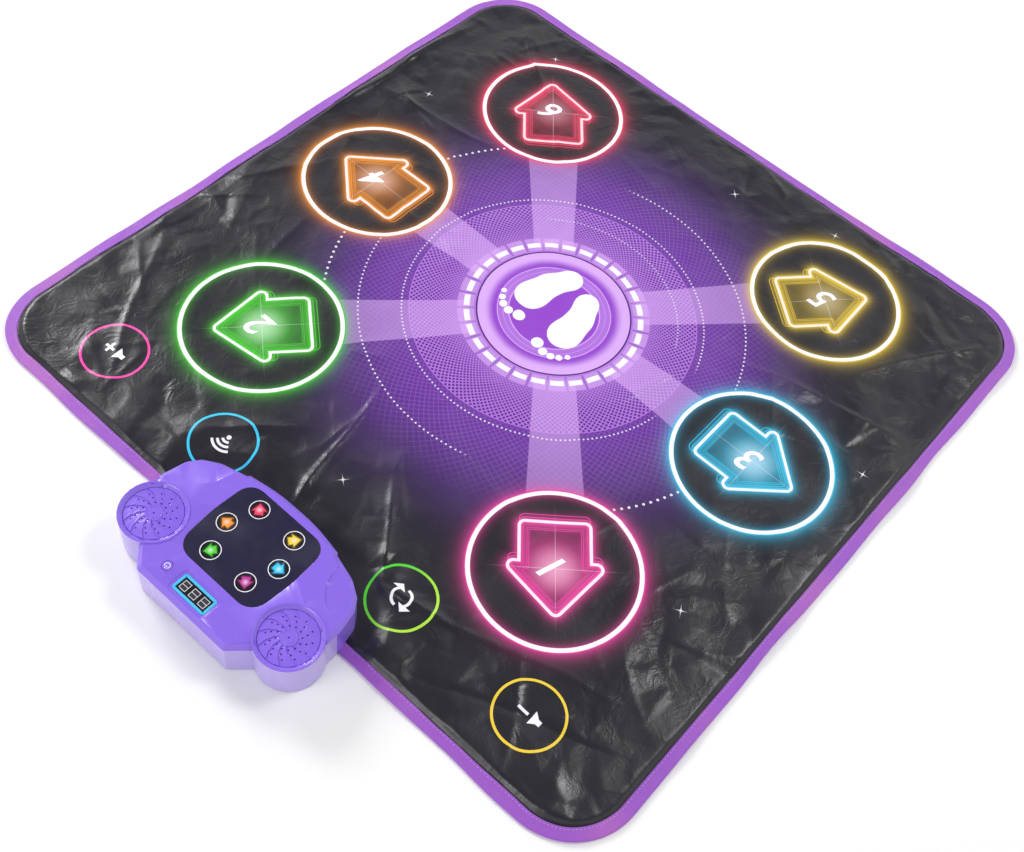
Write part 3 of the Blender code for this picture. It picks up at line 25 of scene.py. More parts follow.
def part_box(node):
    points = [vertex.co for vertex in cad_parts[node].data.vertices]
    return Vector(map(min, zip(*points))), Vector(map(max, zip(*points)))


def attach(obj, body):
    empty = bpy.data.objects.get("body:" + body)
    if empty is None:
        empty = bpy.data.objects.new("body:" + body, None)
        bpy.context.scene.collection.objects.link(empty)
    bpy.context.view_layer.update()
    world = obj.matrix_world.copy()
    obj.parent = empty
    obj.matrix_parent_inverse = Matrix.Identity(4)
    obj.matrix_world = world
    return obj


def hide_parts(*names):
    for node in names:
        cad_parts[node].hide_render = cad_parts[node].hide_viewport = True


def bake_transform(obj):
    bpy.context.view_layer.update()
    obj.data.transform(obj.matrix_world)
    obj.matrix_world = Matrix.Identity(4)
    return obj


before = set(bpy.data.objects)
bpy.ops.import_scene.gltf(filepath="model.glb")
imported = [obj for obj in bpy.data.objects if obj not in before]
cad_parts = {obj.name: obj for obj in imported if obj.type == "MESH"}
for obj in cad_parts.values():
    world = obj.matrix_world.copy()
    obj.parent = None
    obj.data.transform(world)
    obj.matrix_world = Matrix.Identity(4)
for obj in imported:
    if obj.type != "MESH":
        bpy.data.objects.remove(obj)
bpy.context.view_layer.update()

logging.basicConfig(level=logging.INFO, format="%(name)s: %(message)s")
log = logging.getLogger("dance_mat")

ROOT_BODY = "mat_body"
MILLIMETRE = 0.001
HALF_TURN = math.pi
QUARTER_TURN = HALF_TURN / 2
NOISE_RANGE = (0.3, 0.7)
SAME_SPOT = 1e-6


class Ink(Enum):
    """Printed and moulded colours, as sRGB hex."""

    CHARCOAL = "25242b"
    WHITE = "fbf8ff"
    PALE_LILAC = "dcaef6"
    LILAC = "b67be0"
    VIOLET = "9548cc"
    DEEP_VIOLET = "6d35a0"
    DUSK = "573482"
    NIGHT = "3b2c50"
    RING_SHADOW = "4b2370"
    MESH_SHADOW = "511f84"
    PINK = "ff4fb0"
    GREEN = "52d638"
    CYAN = "3fcdf5"
    ORANGE = "fb9a2c"
    YELLOW = "f5d244"
    RED = "ff4a70"
    LIME = "b7e84a"
    BINDING = "9b54c6"
    BINDING_PINK = "b262bc"
    THREAD = "c9a2e6"
    SHELL_PURPLE = "8c6ae6"
    # The shell's purple plastic, painted paler where the white floor lights it from below: painted bounce
    # light.
    SHELL_PURPLE_FLOOR_LIT = "b3a2e4"
    WINDOW = "24233f"
    MAGENTA = "c2409c"
    BEZEL_CYAN = "4fc4f4"
    DISPLAY = "1b1b1f"
    SEGMENT = "3a3d40"
    BLACK = "0c0c0e"
    FOAM_BLACK = "17171a"
    SPACER = "e6e4dc"
    FILM = "dcdcd6"
    TRACK = "9b9da0"
    BOARD_GREEN = "145c33"
    COPPER = "c79a4e"
    STEEL = "c2c3c6"
    JACKET = "2c2f36"
    BASKET = "26272b"

    @property
    def linear(self) -> tuple[float, float, float, float]:
        """The colour in linear light, by the usual curve for screens.

        Returns:
            Red, green, blue and alpha.
        """
        values = [int(self.value[i : i + 2], 16) / 255 for i in (0, 2, 4)]
        low = [v / 12.92 if v <= 0.04045 else ((v + 0.055) / 1.055) ** 2.4 for v in values]
        return (*low, 1.0)


class Field:
    """A number that varies over a surface, worked out by a material's nodes."""

    def __init__(self, tree: bpy.types.NodeTree, socket: bpy.types.NodeSocket) -> None:
        """Keeps the socket that gives the number."""
        self.tree = tree
        self.socket = socket

    def math(self, operation: str, *others: Field | float) -> Field:
        """Puts this number through one Math node.

        Args:
            operation: The node's operation.
            others: Its other inputs, as fields or plain numbers.

        Returns:
            The node's result.
        """
        node = self.tree.nodes.new("ShaderNodeMath")
        node.operation = operation
        for socket, value in zip(node.inputs, (self, *others)):
            if isinstance(value, Field):
                self.tree.links.new(value.socket, socket)
            else:
                socket.default_value = value
        return Field(self.tree, node.outputs[0])

    def __add__(self, other: Field | float) -> Field:
        """The sum."""
        return self.math("ADD", other)

    def __sub__(self, other: Field | float) -> Field:
        """The difference."""
        return self.math("SUBTRACT", other)

    def __mul__(self, other: Field | float) -> Field:
        """The product."""
        return self.math("MULTIPLY", other)

    def __truediv__(self, other: Field | float) -> Field:
        """The quotient."""
        return self.math("DIVIDE", other)

    def size(self) -> Field:
        """The number without its sign."""
        return self.math("ABSOLUTE")

    def least(self, other: Field | float, soft: float = 0.0) -> Field:
        """The smaller of two numbers, with a rounded change-over where soft is above 0."""
        return self.math("SMOOTH_MIN", other, soft) if soft else self.math("MINIMUM", other)

    def most(self, other: Field | float, soft: float = 0.0) -> Field:
        """The larger of two numbers, with a rounded change-over where soft is above 0."""
        return self.math("SMOOTH_MAX", other, soft) if soft else self.math("MAXIMUM", other)

    def between(self, low: float, high: float, at_low: float = 0.0, at_high: float = 1.0) -> Field:
        """Eases from one value to another as this number goes from low to high.

        Args:
            low: Where the easing starts.
            high: Where it ends.
            at_low: The result up to low.
            at_high: The result from high on.

        Returns:
            The eased number.
        """
        node = self.tree.nodes.new("ShaderNodeMapRange")
        node.interpolation_type = "SMOOTHSTEP"
        self.tree.links.new(self.socket, node.inputs["Value"])
        for name, value in zip(("From Min", "From Max", "To Min", "To Max"), (low, high, at_low, at_high)):
            node.inputs[name].default_value = value
        return Field(self.tree, node.outputs["Result"])

    def inside(self, edge: float = 0.0, blur: float = 0.5 * MILLIMETRE) -> Field:
        """1 where the number is under an edge and 0 over it."""
        return self.between(edge - blur / 2, edge + blur / 2, 1.0, 0.0)

    def line(self, half: float, blur: float = 0.5 * MILLIMETRE) -> Field:
        """1 within half a line's width of zero."""
        return self.size().inside(half, blur)

    def glow(self, reach: float) -> Field:
        """A glow that fades away from zero, to about a third at its reach."""
        return (self.size() * (-1.0 / reach)).math("EXPONENT")

    def nearest(self, step: float) -> Field:
        """How far the number is from the nearest multiple of a step."""
        return self.math("PINGPONG", step / 2)


class Place:
    """Where a point of a surface is, in metres and in the plane of the mat."""

    def __init__(self, tree: bpy.types.NodeTree, socket: bpy.types.NodeSocket) -> None:
        """Keeps the vector socket."""
        self.tree = tree
        self.socket = socket

    @classmethod
    def on(cls, tree: bpy.types.NodeTree) -> Place:
        """The point in the object's own coordinates, with its height taken out.

        Args:
            tree: The material's nodes.

        Returns:
            The point.
        """
        source = tree.nodes.new("ShaderNodeTexCoord")
        flat = tree.nodes.new("ShaderNodeVectorMath")
        flat.operation = "MULTIPLY"
        flat.inputs[1].default_value = (1.0, 1.0, 0.0)
        tree.links.new(source.outputs["Object"], flat.inputs[0])
        return cls(tree, flat.outputs[0])

    def about(self, x: float, y: float, turn: float = 0.0) -> Place:
        """The point as seen from a centre, with the axes turned.

        Args:
            x: The centre's X.
            y: The centre's Y.
            turn: The angle from the world's axes to the new ones, in radians.

        Returns:
            The point in the new axes.
        """
        node = self.tree.nodes.new("ShaderNodeMapping")
        node.vector_type = "TEXTURE"
        node.inputs["Location"].default_value = (x, y, 0.0)
        node.inputs["Rotation"].default_value = (0.0, 0.0, turn)
        self.tree.links.new(self.socket, node.inputs["Vector"])
        return Place(self.tree, node.outputs["Vector"])

    def parts(self) -> tuple[Field, Field]:
        """Takes the point apart.

        Returns:
            Its two coordinates.
        """
        node = self.tree.nodes.new("ShaderNodeSeparateXYZ")
        self.tree.links.new(self.socket, node.inputs[0])
        return Field(self.tree, node.outputs[0]), Field(self.tree, node.outputs[1])

    def distance(self) -> Field:
        """Measures from the centre.

        Returns:
            How far the point is from it.
        """
        node = self.tree.nodes.new("ShaderNodeVectorMath")
        node.operation = "LENGTH"
        self.tree.links.new(self.socket, node.inputs[0])
        return Field(self.tree, node.outputs["Value"])

    def angle(self) -> Field:
        """The point's direction from the centre, in turns from 0 to 1."""
        x, y = self.parts()
        return (y.math("ARCTAN2", x) / (2 * HALF_TURN)).math("WRAP", 1.0, 0.0)

    def noise(self, scale: float, detail: float = 2.0, distortion: float = 0.0) -> Field:
        """Smooth noise over the surface.

        Args:
            scale: How many features there are to a metre.
            detail: How many finer layers it has.
            distortion: How much it swirls.

        Returns:
            The noise, from 0 to 1.
        """
        node = self.tree.nodes.new("ShaderNodeTexNoise")
        node.inputs["Scale"].default_value = scale
        node.inputs["Detail"].default_value = detail
        node.inputs["Distortion"].default_value = distortion
        self.tree.links.new(self.socket, node.inputs["Vector"])
        return Field(self.tree, node.outputs[0])


class Print:
    """Inks laid one over another, each where its own mask is 1."""

    def __init__(self, tree: bpy.types.NodeTree, ground: Ink) -> None:
        """Starts from a plain ground.

        Args:
            tree: The material's nodes.
            ground: The ground's colour.
        """
        self.tree = tree
        self.ground = ground
        self.socket: bpy.types.NodeSocket | None = None

    def lay(self, ink: Ink, mask: Field, strength: float = 1.0) -> None:
        """Lays one ink over the print so far.

        Args:
            ink: The ink's colour.
            mask: Where it lies, from 0 to 1.
            strength: How much it covers where the mask is 1.
        """
        mix = self.tree.nodes.new("ShaderNodeMix")
        mix.data_type = "RGBA"
        mix.clamp_factor = True
        factor = mask * strength if strength != 1.0 else mask
        self.tree.links.new(factor.socket, mix.inputs["Factor"])
        below, above = (socket for socket in mix.inputs if socket.type == "RGBA")
        above.default_value = ink.linear
        if self.socket is None:
            below.default_value = self.ground.linear
        else:
            self.tree.links.new(self.socket, below)
        self.socket = next(socket for socket in mix.outputs if socket.type == "RGBA")


Drawer = Callable[["bpy.types.NodeTree", Place], Print]


def new_material(name: str) -> tuple[bpy.types.Material, bpy.types.NodeTree, bpy.types.Node]:
    """An empty Principled material.

    Args:
        name: The material's name.

    Returns:
        The material, its node tree and its Principled node.
    """
    material = bpy.data.materials.new(name)
    material.use_nodes = True
    tree = material.node_tree
    return material, tree, tree.nodes["Principled BSDF"]


def add_bump(tree: bpy.types.NodeTree, shader: bpy.types.Node, height: Field, distance: float) -> None:
    """Feeds a height into the shader's normal.

    Args:
        tree: The material's nodes.
        shader: Its Principled node.
        height: The height, from 0 to 1.
        distance: What a height of 1 stands for, in metres.
    """
    bump = tree.nodes.new("ShaderNodeBump")
    bump.inputs["Distance"].default_value = distance
    tree.links.new(height.socket, bump.inputs["Height"])
    tree.links.new(bump.outputs["Normal"], shader.inputs["Normal"])


@dataclass(frozen=True)
class Vinyl:
    """Glossy printed vinyl with fine crumples."""

    roughness: float = 0.30
    polish: float = 0.06
    scuff: float = 0.08
    crumple: float = 0.40 * MILLIMETRE
    crumple_scale: float = 38.0
    crumple_swirl: float = 1.2
    grain_scale: float = 260.0
    grain_share: float = 0.12

    def material(self, name: str, draw: Drawer) -> bpy.types.Material:
        """Makes the material and prints it.

        Args:
            name: The material's name.
            draw: Draws the print.

        Returns:
            The finished material.
        """
        material, tree, shader = new_material(name)
        place = Place.on(tree)
        tree.links.new(draw(tree, place).socket, shader.inputs["Base Color"])
        wear = place.noise(self.crumple_scale / 3, detail=3.0)
        rough = wear.between(*NOISE_RANGE, self.roughness - self.polish, self.roughness + self.scuff)
        tree.links.new(rough.socket, shader.inputs["Roughness"])
        folds = place.noise(self.crumple_scale, detail=3.0, distortion=self.crumple_swirl)
        ridge = (folds - 0.5).size() * -2.0
        grain = place.noise(self.grain_scale, detail=1.0) * self.grain_share
        add_bump(tree, shader, ridge + grain + 1.0, self.crumple)
        return material


@dataclass(frozen=True)
class Moulding:
    """Moulded plastic, or another plain stuff, with a faint grain and a slow drift of tone."""

    ink: Ink
    roughness: float = 0.3
    polish: float = 0.03
    scuff: float = 0.04
    polish_scale: float = 60.0
    grain: float = 0.02 * MILLIMETRE
    grain_scale: float = 900.0
    coat: float = 0.0
    coat_roughness: float = 0.12
    metal: float = 0.0
    drift: float = 0.02
    pale_scale: float = 18.0
    dark_scale: float = 31.0
    draw: Drawer | None = None

    def material(self, name: str) -> bpy.types.Material:
        """Makes the material.

        Args:
            name: The material's name.

        Returns:
            The finished material.
        """
        material, tree, shader = new_material(name)
        place = Place.on(tree)
        tone = self.draw(tree, place) if self.draw else Print(tree, self.ink)
        tone.lay(Ink.WHITE, place.noise(self.pale_scale).between(0.45, 0.75), self.drift)
        tone.lay(Ink.BLACK, place.noise(self.dark_scale).between(0.5, 0.8), self.drift)
        tree.links.new(tone.socket, shader.inputs["Base Color"])
        wear = place.noise(self.polish_scale, detail=3.0)
        rough = wear.between(*NOISE_RANGE, self.roughness - self.polish, self.roughness + self.scuff)
        tree.links.new(rough.socket, shader.inputs["Roughness"])
        shader.inputs["Metallic"].default_value = self.metal
        shader.inputs["Coat Weight"].default_value = self.coat
        shader.inputs["Coat Roughness"].default_value = self.coat_roughness
        add_bump(tree, shader, place.noise(self.grain_scale, detail=1.0), self.grain)
        return material


@dataclass(frozen=True)
class Webbing:
    """Woven binding tape, with its weave on the piece's own UV map in metres."""

    ink: Ink = Ink.BINDING
    rib: float = 0.9 * MILLIMETRE
    rib_slant: float = 0.4
    rib_share: float = 0.6
    depth: float = 0.12 * MILLIMETRE
    wrinkle: float = 0.7 * MILLIMETRE
    wrinkle_scale: float = 75.0
    wrinkle_swirl: float = 0.8
    roughness: float = 0.5
    sheen: float = 0.35
    sheen_roughness: float = 0.4

    def material(self, name: str) -> bpy.types.Material:
        """Makes the material.

        Args:
            name: The material's name.

        Returns:
            The finished material.
        """
        material, tree, shader = new_material(name)
        source = tree.nodes.new("ShaderNodeUVMap")
        along, across = Place(tree, source.outputs["UV"]).parts()
        pick = self.rib * self.rib_share
        ribs = (along + across * self.rib_slant).nearest(self.rib) / (self.rib / 2)
        picks = across.nearest(pick) / (pick / 2)
        weave = ribs * self.rib_share + picks * (1.0 - self.rib_share)
        cloth = Print(tree, self.ink)
        # Darkens the weave where it is low, in the grooves that the bump sinks: painted shade.
        cloth.lay(Ink.DEEP_VIOLET, weave.between(0.0, 0.5, 1.0, 0.0), 0.22)
        place = Place.on(tree)
        cloth.lay(Ink.BINDING_PINK, place.noise(7.0).between(0.45, 0.70), 0.7)
        cloth.lay(Ink.VIOLET, place.noise(11.0, distortion=0.5).between(0.5, 0.75), 0.35)
        tree.links.new(cloth.socket, shader.inputs["Base Color"])
        shader.inputs["Roughness"].default_value = self.roughness
        shader.inputs["Sheen Weight"].default_value = self.sheen
        shader.inputs["Sheen Roughness"].default_value = self.sheen_roughness
        wrinkles = place.noise(self.wrinkle_scale, distortion=self.wrinkle_swirl)
        add_bump(tree, shader, weave + wrinkles * (self.wrinkle / self.depth), self.depth)
        return material


def ease(value: np.ndarray, low: float, high: float) -> np.ndarray:
    """Eases from 0 to 1 as values go from low to high."""
    t = np.clip((value - low) / (high - low), 0.0, 1.0)
    return t * t * (3.0 - 2.0 * t)


class LatticeNoise:
    """Smooth repeatable noise from random values on a square lattice."""

    def __init__(self, cell: float, seed: int, reach: float = 1.4) -> None:
        """Draws the lattice.

        Args:
            cell: The lattice's spacing, in metres.
            seed: The seed of its random values.
            reach: Half the width that the lattice covers, in metres.
        """
        self.cell = cell
        self.reach = reach
        count = int(2 * reach / cell) + 3
        self.values = np.random.default_rng(seed).random((count, count))

    def at(self, x: np.ndarray, y: np.ndarray) -> np.ndarray:
        """Reads the noise.

        Args:
            x: The points' X.
            y: The points' Y.

        Returns:
            The noise at the points, from 0 to 1.
        """
        u, v = (x + self.reach) / self.cell, (y + self.reach) / self.cell
        i, j = np.floor(u).astype(int), np.floor(v).astype(int)
        a, b = ease(u - i, 0.0, 1.0), ease(v - j, 0.0, 1.0)
        grid = self.values
        low = grid[i, j] * (1 - a) + grid[i + 1, j] * a
        high = grid[i, j + 1] * (1 - a) + grid[i + 1, j + 1] * a
        return low * (1 - b) + high * b


class Facets:
    """A sheet creased into flat facets, as crumpled film is."""

    scatter = 0.45
    above = 2.0
    middle = 0.5

    def __init__(
        self, spacing: float, seed: int, stretch: float = 1.0, turn: float = 0.0, reach: float = 0.7
    ) -> None:
        """Scatters the facets' corners and joins them.

        Args:
            spacing: The mean distance between corners, in metres.
            seed: The seed of the scatter.
            stretch: How much longer the facets are than wide.
            turn: The direction they are long in, in radians.
            reach: Half the width that they cover, in metres.
        """
        random = np.random.default_rng(seed)
        steps = np.arange(-reach, reach, spacing)
        x, y = np.meshgrid(steps, steps)
        x = x + random.uniform(-self.scatter, self.scatter, x.shape) * spacing
        y = y + random.uniform(-self.scatter, self.scatter, y.shape) * spacing
        corners = [Vector(point) for point in zip(x.ravel(), y.ravel())]
        self.stretch, self.turn = stretch, turn
        flat, _, faces, *_ = delaunay_2d_cdt(corners, [], [], 0, SAME_SPOT / 10)
        heights = random.random(len(flat))
        self.tree = BVHTree.FromPolygons([(p.x, p.y, h) for p, h in zip(flat, heights)], faces)

    def at(self, x: np.ndarray, y: np.ndarray) -> np.ndarray:
        """Reads the creased height.

        Args:
            x: The points' X.
            y: The points' Y.

        Returns:
            The height at the points, from 0 to 1.
        """
        c, s = math.cos(self.turn), math.sin(self.turn)
        u, v = (x * c + y * s) / self.stretch, y * c - x * s
        down = Vector((0.0, 0.0, -1.0))
        cast = self.tree.ray_cast
        found = [cast(Vector((a, b, self.above)), down)[0] for a, b in zip(u.tolist(), v.tolist())]
        return np.array([self.middle if hit is None else hit.z for hit in found])


@dataclass(frozen=True)
class MatPlan:
    """The mat's sizes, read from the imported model."""

    corner: float = 0.080
    tape: float = 0.0130
    skin: float = 0.6 * MILLIMETRE
    rim_slope: float = 4.5 * MILLIMETRE
    box_shoulder: float = 0.060

    @property
    def half(self) -> tuple[float, float]:
        """Half the mat's width and depth."""
        low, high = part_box("edge_binding")
        return (high.x - low.x) / 2, (high.y - low.y) / 2

    @property
    def top(self) -> float:
        """The height of the cover's top."""
        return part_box("mat_top_cover")[1].z

    @property
    def rim_top(self) -> float:
        """The height of the cover's top where the binding grips it."""
        thickness = self.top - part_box("step_pad_1")[1].z + self.skin
        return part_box("mat_top_cover")[0].z + thickness

    def rim(self, x: np.ndarray, y: np.ndarray) -> np.ndarray:
        """Measures in from the mat's outline.

        Args:
            x: The points' X.
            y: The points' Y.

        Returns:
            How far the points lie inside it.
        """
        half_x, half_y = self.half
        u, v = np.abs(x) - (half_x - self.corner), np.abs(y) - (half_y - self.corner)
        outside = np.hypot(np.maximum(u, 0.0), np.maximum(v, 0.0))
        return self.corner - outside - np.minimum(np.maximum(u, v), 0.0)

    def from_box(self, x: np.ndarray, y: np.ndarray) -> np.ndarray:
        """Measures out from the control box's plan, taken as a rounded block.

        Args:
            x: The points' X.
            y: The points' Y.

        Returns:
            How far the points lie outside it.
        """
        _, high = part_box("upper_shell")
        u = np.abs(x) - (high.x - self.box_shoulder)
        v = y - (high.y - self.box_shoulder)
        outside = np.hypot(np.maximum(u, 0.0), np.maximum(v, 0.0))
        return outside + np.minimum(np.maximum(u, v), 0.0) - self.box_shoulder


class Sign(Enum):
    """What a function pad does, as its sign shows it."""

    LOUDER = "loudspeaker and plus"
    QUIETER = "loudspeaker and minus"
    WIRELESS = "arcs"
    NEXT = "two turning arrows"


@dataclass(frozen=True)
class PressZone:
    """A press zone's node and colours, how strongly its arrow is filled, and its sign."""

    node: str
    ink: Ink
    fill: float = 0.72
    sign: Sign | None = None
    left_ink: Ink | None = None

    @property
    def centre(self) -> tuple[float, float]:
        """The zone's centre."""
        low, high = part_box(self.node)
        return (low.x + high.x) / 2, (low.y + high.y) / 2

    @property
    def radius(self) -> float:
        """The zone's radius."""
        low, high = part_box(self.node)
        return (high.x - low.x) / 2


STEP_ZONES = (
    PressZone("step_pad_1", Ink.PINK),
    PressZone("step_pad_2", Ink.GREEN, fill=0.88),
    PressZone("step_pad_3", Ink.CYAN, fill=0.80),
    PressZone("step_pad_4", Ink.ORANGE, fill=0.58),
    PressZone("step_pad_5", Ink.YELLOW, fill=0.40),
    PressZone("step_pad_6", Ink.RED, fill=0.36),
)
FUNCTION_ZONES = (
    PressZone("volume_up_pad", Ink.PINK, sign=Sign.LOUDER),
    PressZone("volume_down_pad", Ink.YELLOW, sign=Sign.QUIETER),
    PressZone("wireless_pad", Ink.CYAN, sign=Sign.WIRELESS),
    PressZone("mode_pad", Ink.GREEN, sign=Sign.NEXT, left_ink=Ink.LIME),
)
ZONES = (*STEP_ZONES, *FUNCTION_ZONES)


@dataclass(frozen=True)
class Crease:
    """One long fold, from start to end, raised or sunk by its height, and steeper on one side."""

    start: tuple[float, float]
    end: tuple[float, float]
    height: float = 1.2 * MILLIMETRE
    width: float = 5.0 * MILLIMETRE
    gentle_side: float = 2.5
    taper: float = 0.3
    wander: float = 3.0 * MILLIMETRE
    wander_rate: float = 31.0
    wander_start: float = 50.0

    def at(self, x: np.ndarray, y: np.ndarray) -> np.ndarray:
        """Measures the fold.

        Args:
            x: The points' X.
            y: The points' Y.

        Returns:
            Its height at the points.
        """
        (ax, ay), (bx, by) = self.start, self.end
        length = math.hypot(bx - ax, by - ay)
        ux, uy = (bx - ax) / length, (by - ay) / length
        along = (x - ax) * ux + (y - ay) * uy
        across = (y - ay) * ux - (x - ax) * uy
        across = across + self.wander * np.sin(along * self.wander_rate + ax * self.wander_start)
        taper = length * self.taper
        ends = ease(along, 0.0, taper) * ease(length - along, 0.0, taper)
        slope = np.where(across > 0.0, self.width * self.gentle_side, self.width)
        return self.height * ends * np.exp(-np.abs(across) / slope)


class Folds:
    """The height of the folds over the flat cover, shared by cover, press zones and binding."""

    broad = 4.2 * MILLIMETRE
    cross = 3.2 * MILLIMETRE
    fine = 2.1 * MILLIMETRE
    settle = 3.2 * MILLIMETRE
    soften = 0.9 * MILLIMETRE
    sink = 0.4 * MILLIMETRE
    lift_height = 2.2 * MILLIMETRE
    crease_count = 200

    least_unrest = 0.50
    patchy_unrest = 0.40
    rim_unrest = 0.45
    box_unrest = 0.55
    unrest_reach = (0.02, 0.16)
    pad_calm = 0.40
    pad_reach = (0.05, 0.115)
    box_gap = (0.004, 0.030)

    lifted = (0.35, 0.9)
    lift_reach = (0.015, 0.075)
    lift_gap = (0.012, 0.070)
    under_tape = 0.38

    def __init__(self, plan: MatPlan) -> None:
        """Draws the folds.

        Args:
            plan: The mat's sizes.
        """
        self.plan = plan
        self.broad_facets = Facets(spacing=0.062, seed=11, stretch=1.6, turn=math.radians(35))
        self.cross_facets = Facets(spacing=0.040, seed=23, stretch=2.2, turn=math.radians(-50))
        self.fine_facets = Facets(spacing=0.020, seed=37)
        self.patches = LatticeNoise(cell=0.110, seed=5)
        self.lifts = LatticeNoise(cell=0.085, seed=8)
        random = np.random.default_rng(71)
        self.creases = [*self.long_folds(), *self.scattered(random)]

    @staticmethod
    def long_folds() -> list[Crease]:
        """The longest folds, where the mat was once folded for its box.

        Returns:
            The folds.
        """
        raised, sunk, gentle = 3.2 * MILLIMETRE, -2.6 * MILLIMETRE, 1.9 * MILLIMETRE
        sharp = 3.4 * MILLIMETRE
        return [
            Crease((0.07, -0.40), (0.40, -0.30), raised, sharp),
            Crease((0.44, -0.34), (0.18, -0.44), sunk, sharp),
            Crease((-0.44, -0.20), (-0.28, -0.44), gentle),
            Crease((-0.43, 0.16), (-0.22, 0.20), raised, sharp),
            Crease((-0.40, 0.43), (-0.12, 0.22), raised, sharp),
            Crease((0.02, 0.45), (0.12, 0.22), sunk, sharp),
            Crease((0.44, 0.20), (0.18, 0.14), gentle),
            Crease((0.43, -0.10), (0.24, -0.10), sunk, sharp),
            Crease((-0.08, -0.16), (-0.02, -0.40), raised, sharp),
            Crease((0.44, 0.43), (0.30, 0.20), gentle),
            Crease((-0.44, 0.02), (-0.43, 0.40), raised, sharp),
            Crease((0.02, -0.26), (0.12, -0.40), raised, sharp),
        ]

    def scattered(self, random: np.random.Generator) -> Iterator[Crease]:
        """Scatters short creases all over the mat, in every direction.

        Args:
            random: The source of their places.

        Returns:
            The creases, one at a time.
        """
        half_x, half_y = self.plan.half
        for _ in range(self.crease_count):
            x, y = random.uniform(-half_x, half_x), random.uniform(-half_y, half_y)
            turn = random.uniform(0.0, HALF_TURN)
            length = random.uniform(0.04, 0.19)
            height = random.uniform(-1.0, 2.2) * MILLIMETRE
            width = random.uniform(2.5, 6.0) * MILLIMETRE
            end = (x + length * math.cos(turn), y + length * math.sin(turn))
            yield Crease((x, y), end, height, width)

    def unrest(self, x: np.ndarray, y: np.ndarray) -> np.ndarray:
        """Says how crumpled the cover is.

        Args:
            x: The points' X.
            y: The points' Y.

        Returns:
            The unrest, from 0 under the box to about 1 near the edges.
        """
        rim, beyond = self.plan.rim(x, y), self.plan.from_box(x, y)
        unrest = self.least_unrest + self.patchy_unrest * self.patches.at(x, y)
        unrest = unrest + self.rim_unrest * (1.0 - ease(rim, *self.unrest_reach))
        unrest = unrest + self.box_unrest * (1.0 - ease(beyond, *self.unrest_reach))
        for zone in STEP_ZONES:
            cx, cy = zone.centre
            near = 1.0 - ease(np.hypot(x - cx, y - cy), *self.pad_reach)
            unrest = unrest * (1.0 - self.pad_calm * near)
        return unrest * ease(beyond, *self.box_gap)

    def lift(self, x: np.ndarray, y: np.ndarray) -> np.ndarray:
        """Measures how far the sewn edge stands off the floor.

        Args:
            x: The points' X.
            y: The points' Y.

        Returns:
            The edge's lift at the points.
        """
        rim, beyond = self.plan.rim(x, y), self.plan.from_box(x, y)
        wave = ease(self.lifts.at(x, y), *self.lifted)
        at_edge = 1.0 - ease(rim, *self.lift_reach)
        return self.lift_height * wave * at_edge * ease(beyond, *self.lift_gap)

    def height(self, x: np.ndarray, y: np.ndarray) -> np.ndarray:
        """The cover's height over its flat level.

        Args:
            x: The points' X.
            y: The points' Y.

        Returns:
            The heights, never so low that a layer below would show.
        """
        unrest = self.unrest(x, y)
        shape = self.broad * self.broad_facets.at(x, y) + self.cross * self.cross_facets.at(x, y)
        shape = shape + self.fine * self.fine_facets.at(x, y) * ease(unrest, 0.25, 1.0)
        for crease in self.creases:
            shape = shape + crease.at(x, y)
        shape = shape - self.settle
        shape = (shape + np.hypot(shape, self.soften)) / 2 - self.sink
        rim, tape = self.plan.rim(x, y), self.plan.tape
        free = ease(rim, tape - 1.0 * MILLIMETRE, tape + 9.0 * MILLIMETRE)
        held = ease(rim, 0.15 * tape, 0.9 * tape)
        share = self.under_tape * held + (1.0 - self.under_tape) * free
        return shape * unrest * share + self.lift(x, y)


def mesh_object(name: str, bm: bmesh.types.BMesh, smooth: bool = True) -> bpy.types.Object:
    """Makes an object at the origin from a bmesh, which is freed.

    Args:
        name: The object's name.
        bm: The mesh.
        smooth: Whether its faces are shaded smooth.

    Returns:
        The new object.
    """
    mesh = bpy.data.meshes.new(name)
    bm.to_mesh(mesh)
    bm.free()
    if smooth:
        mesh.shade_smooth()
    obj = bpy.data.objects.new(name, mesh)
    bpy.context.scene.collection.objects.link(obj)
    return obj


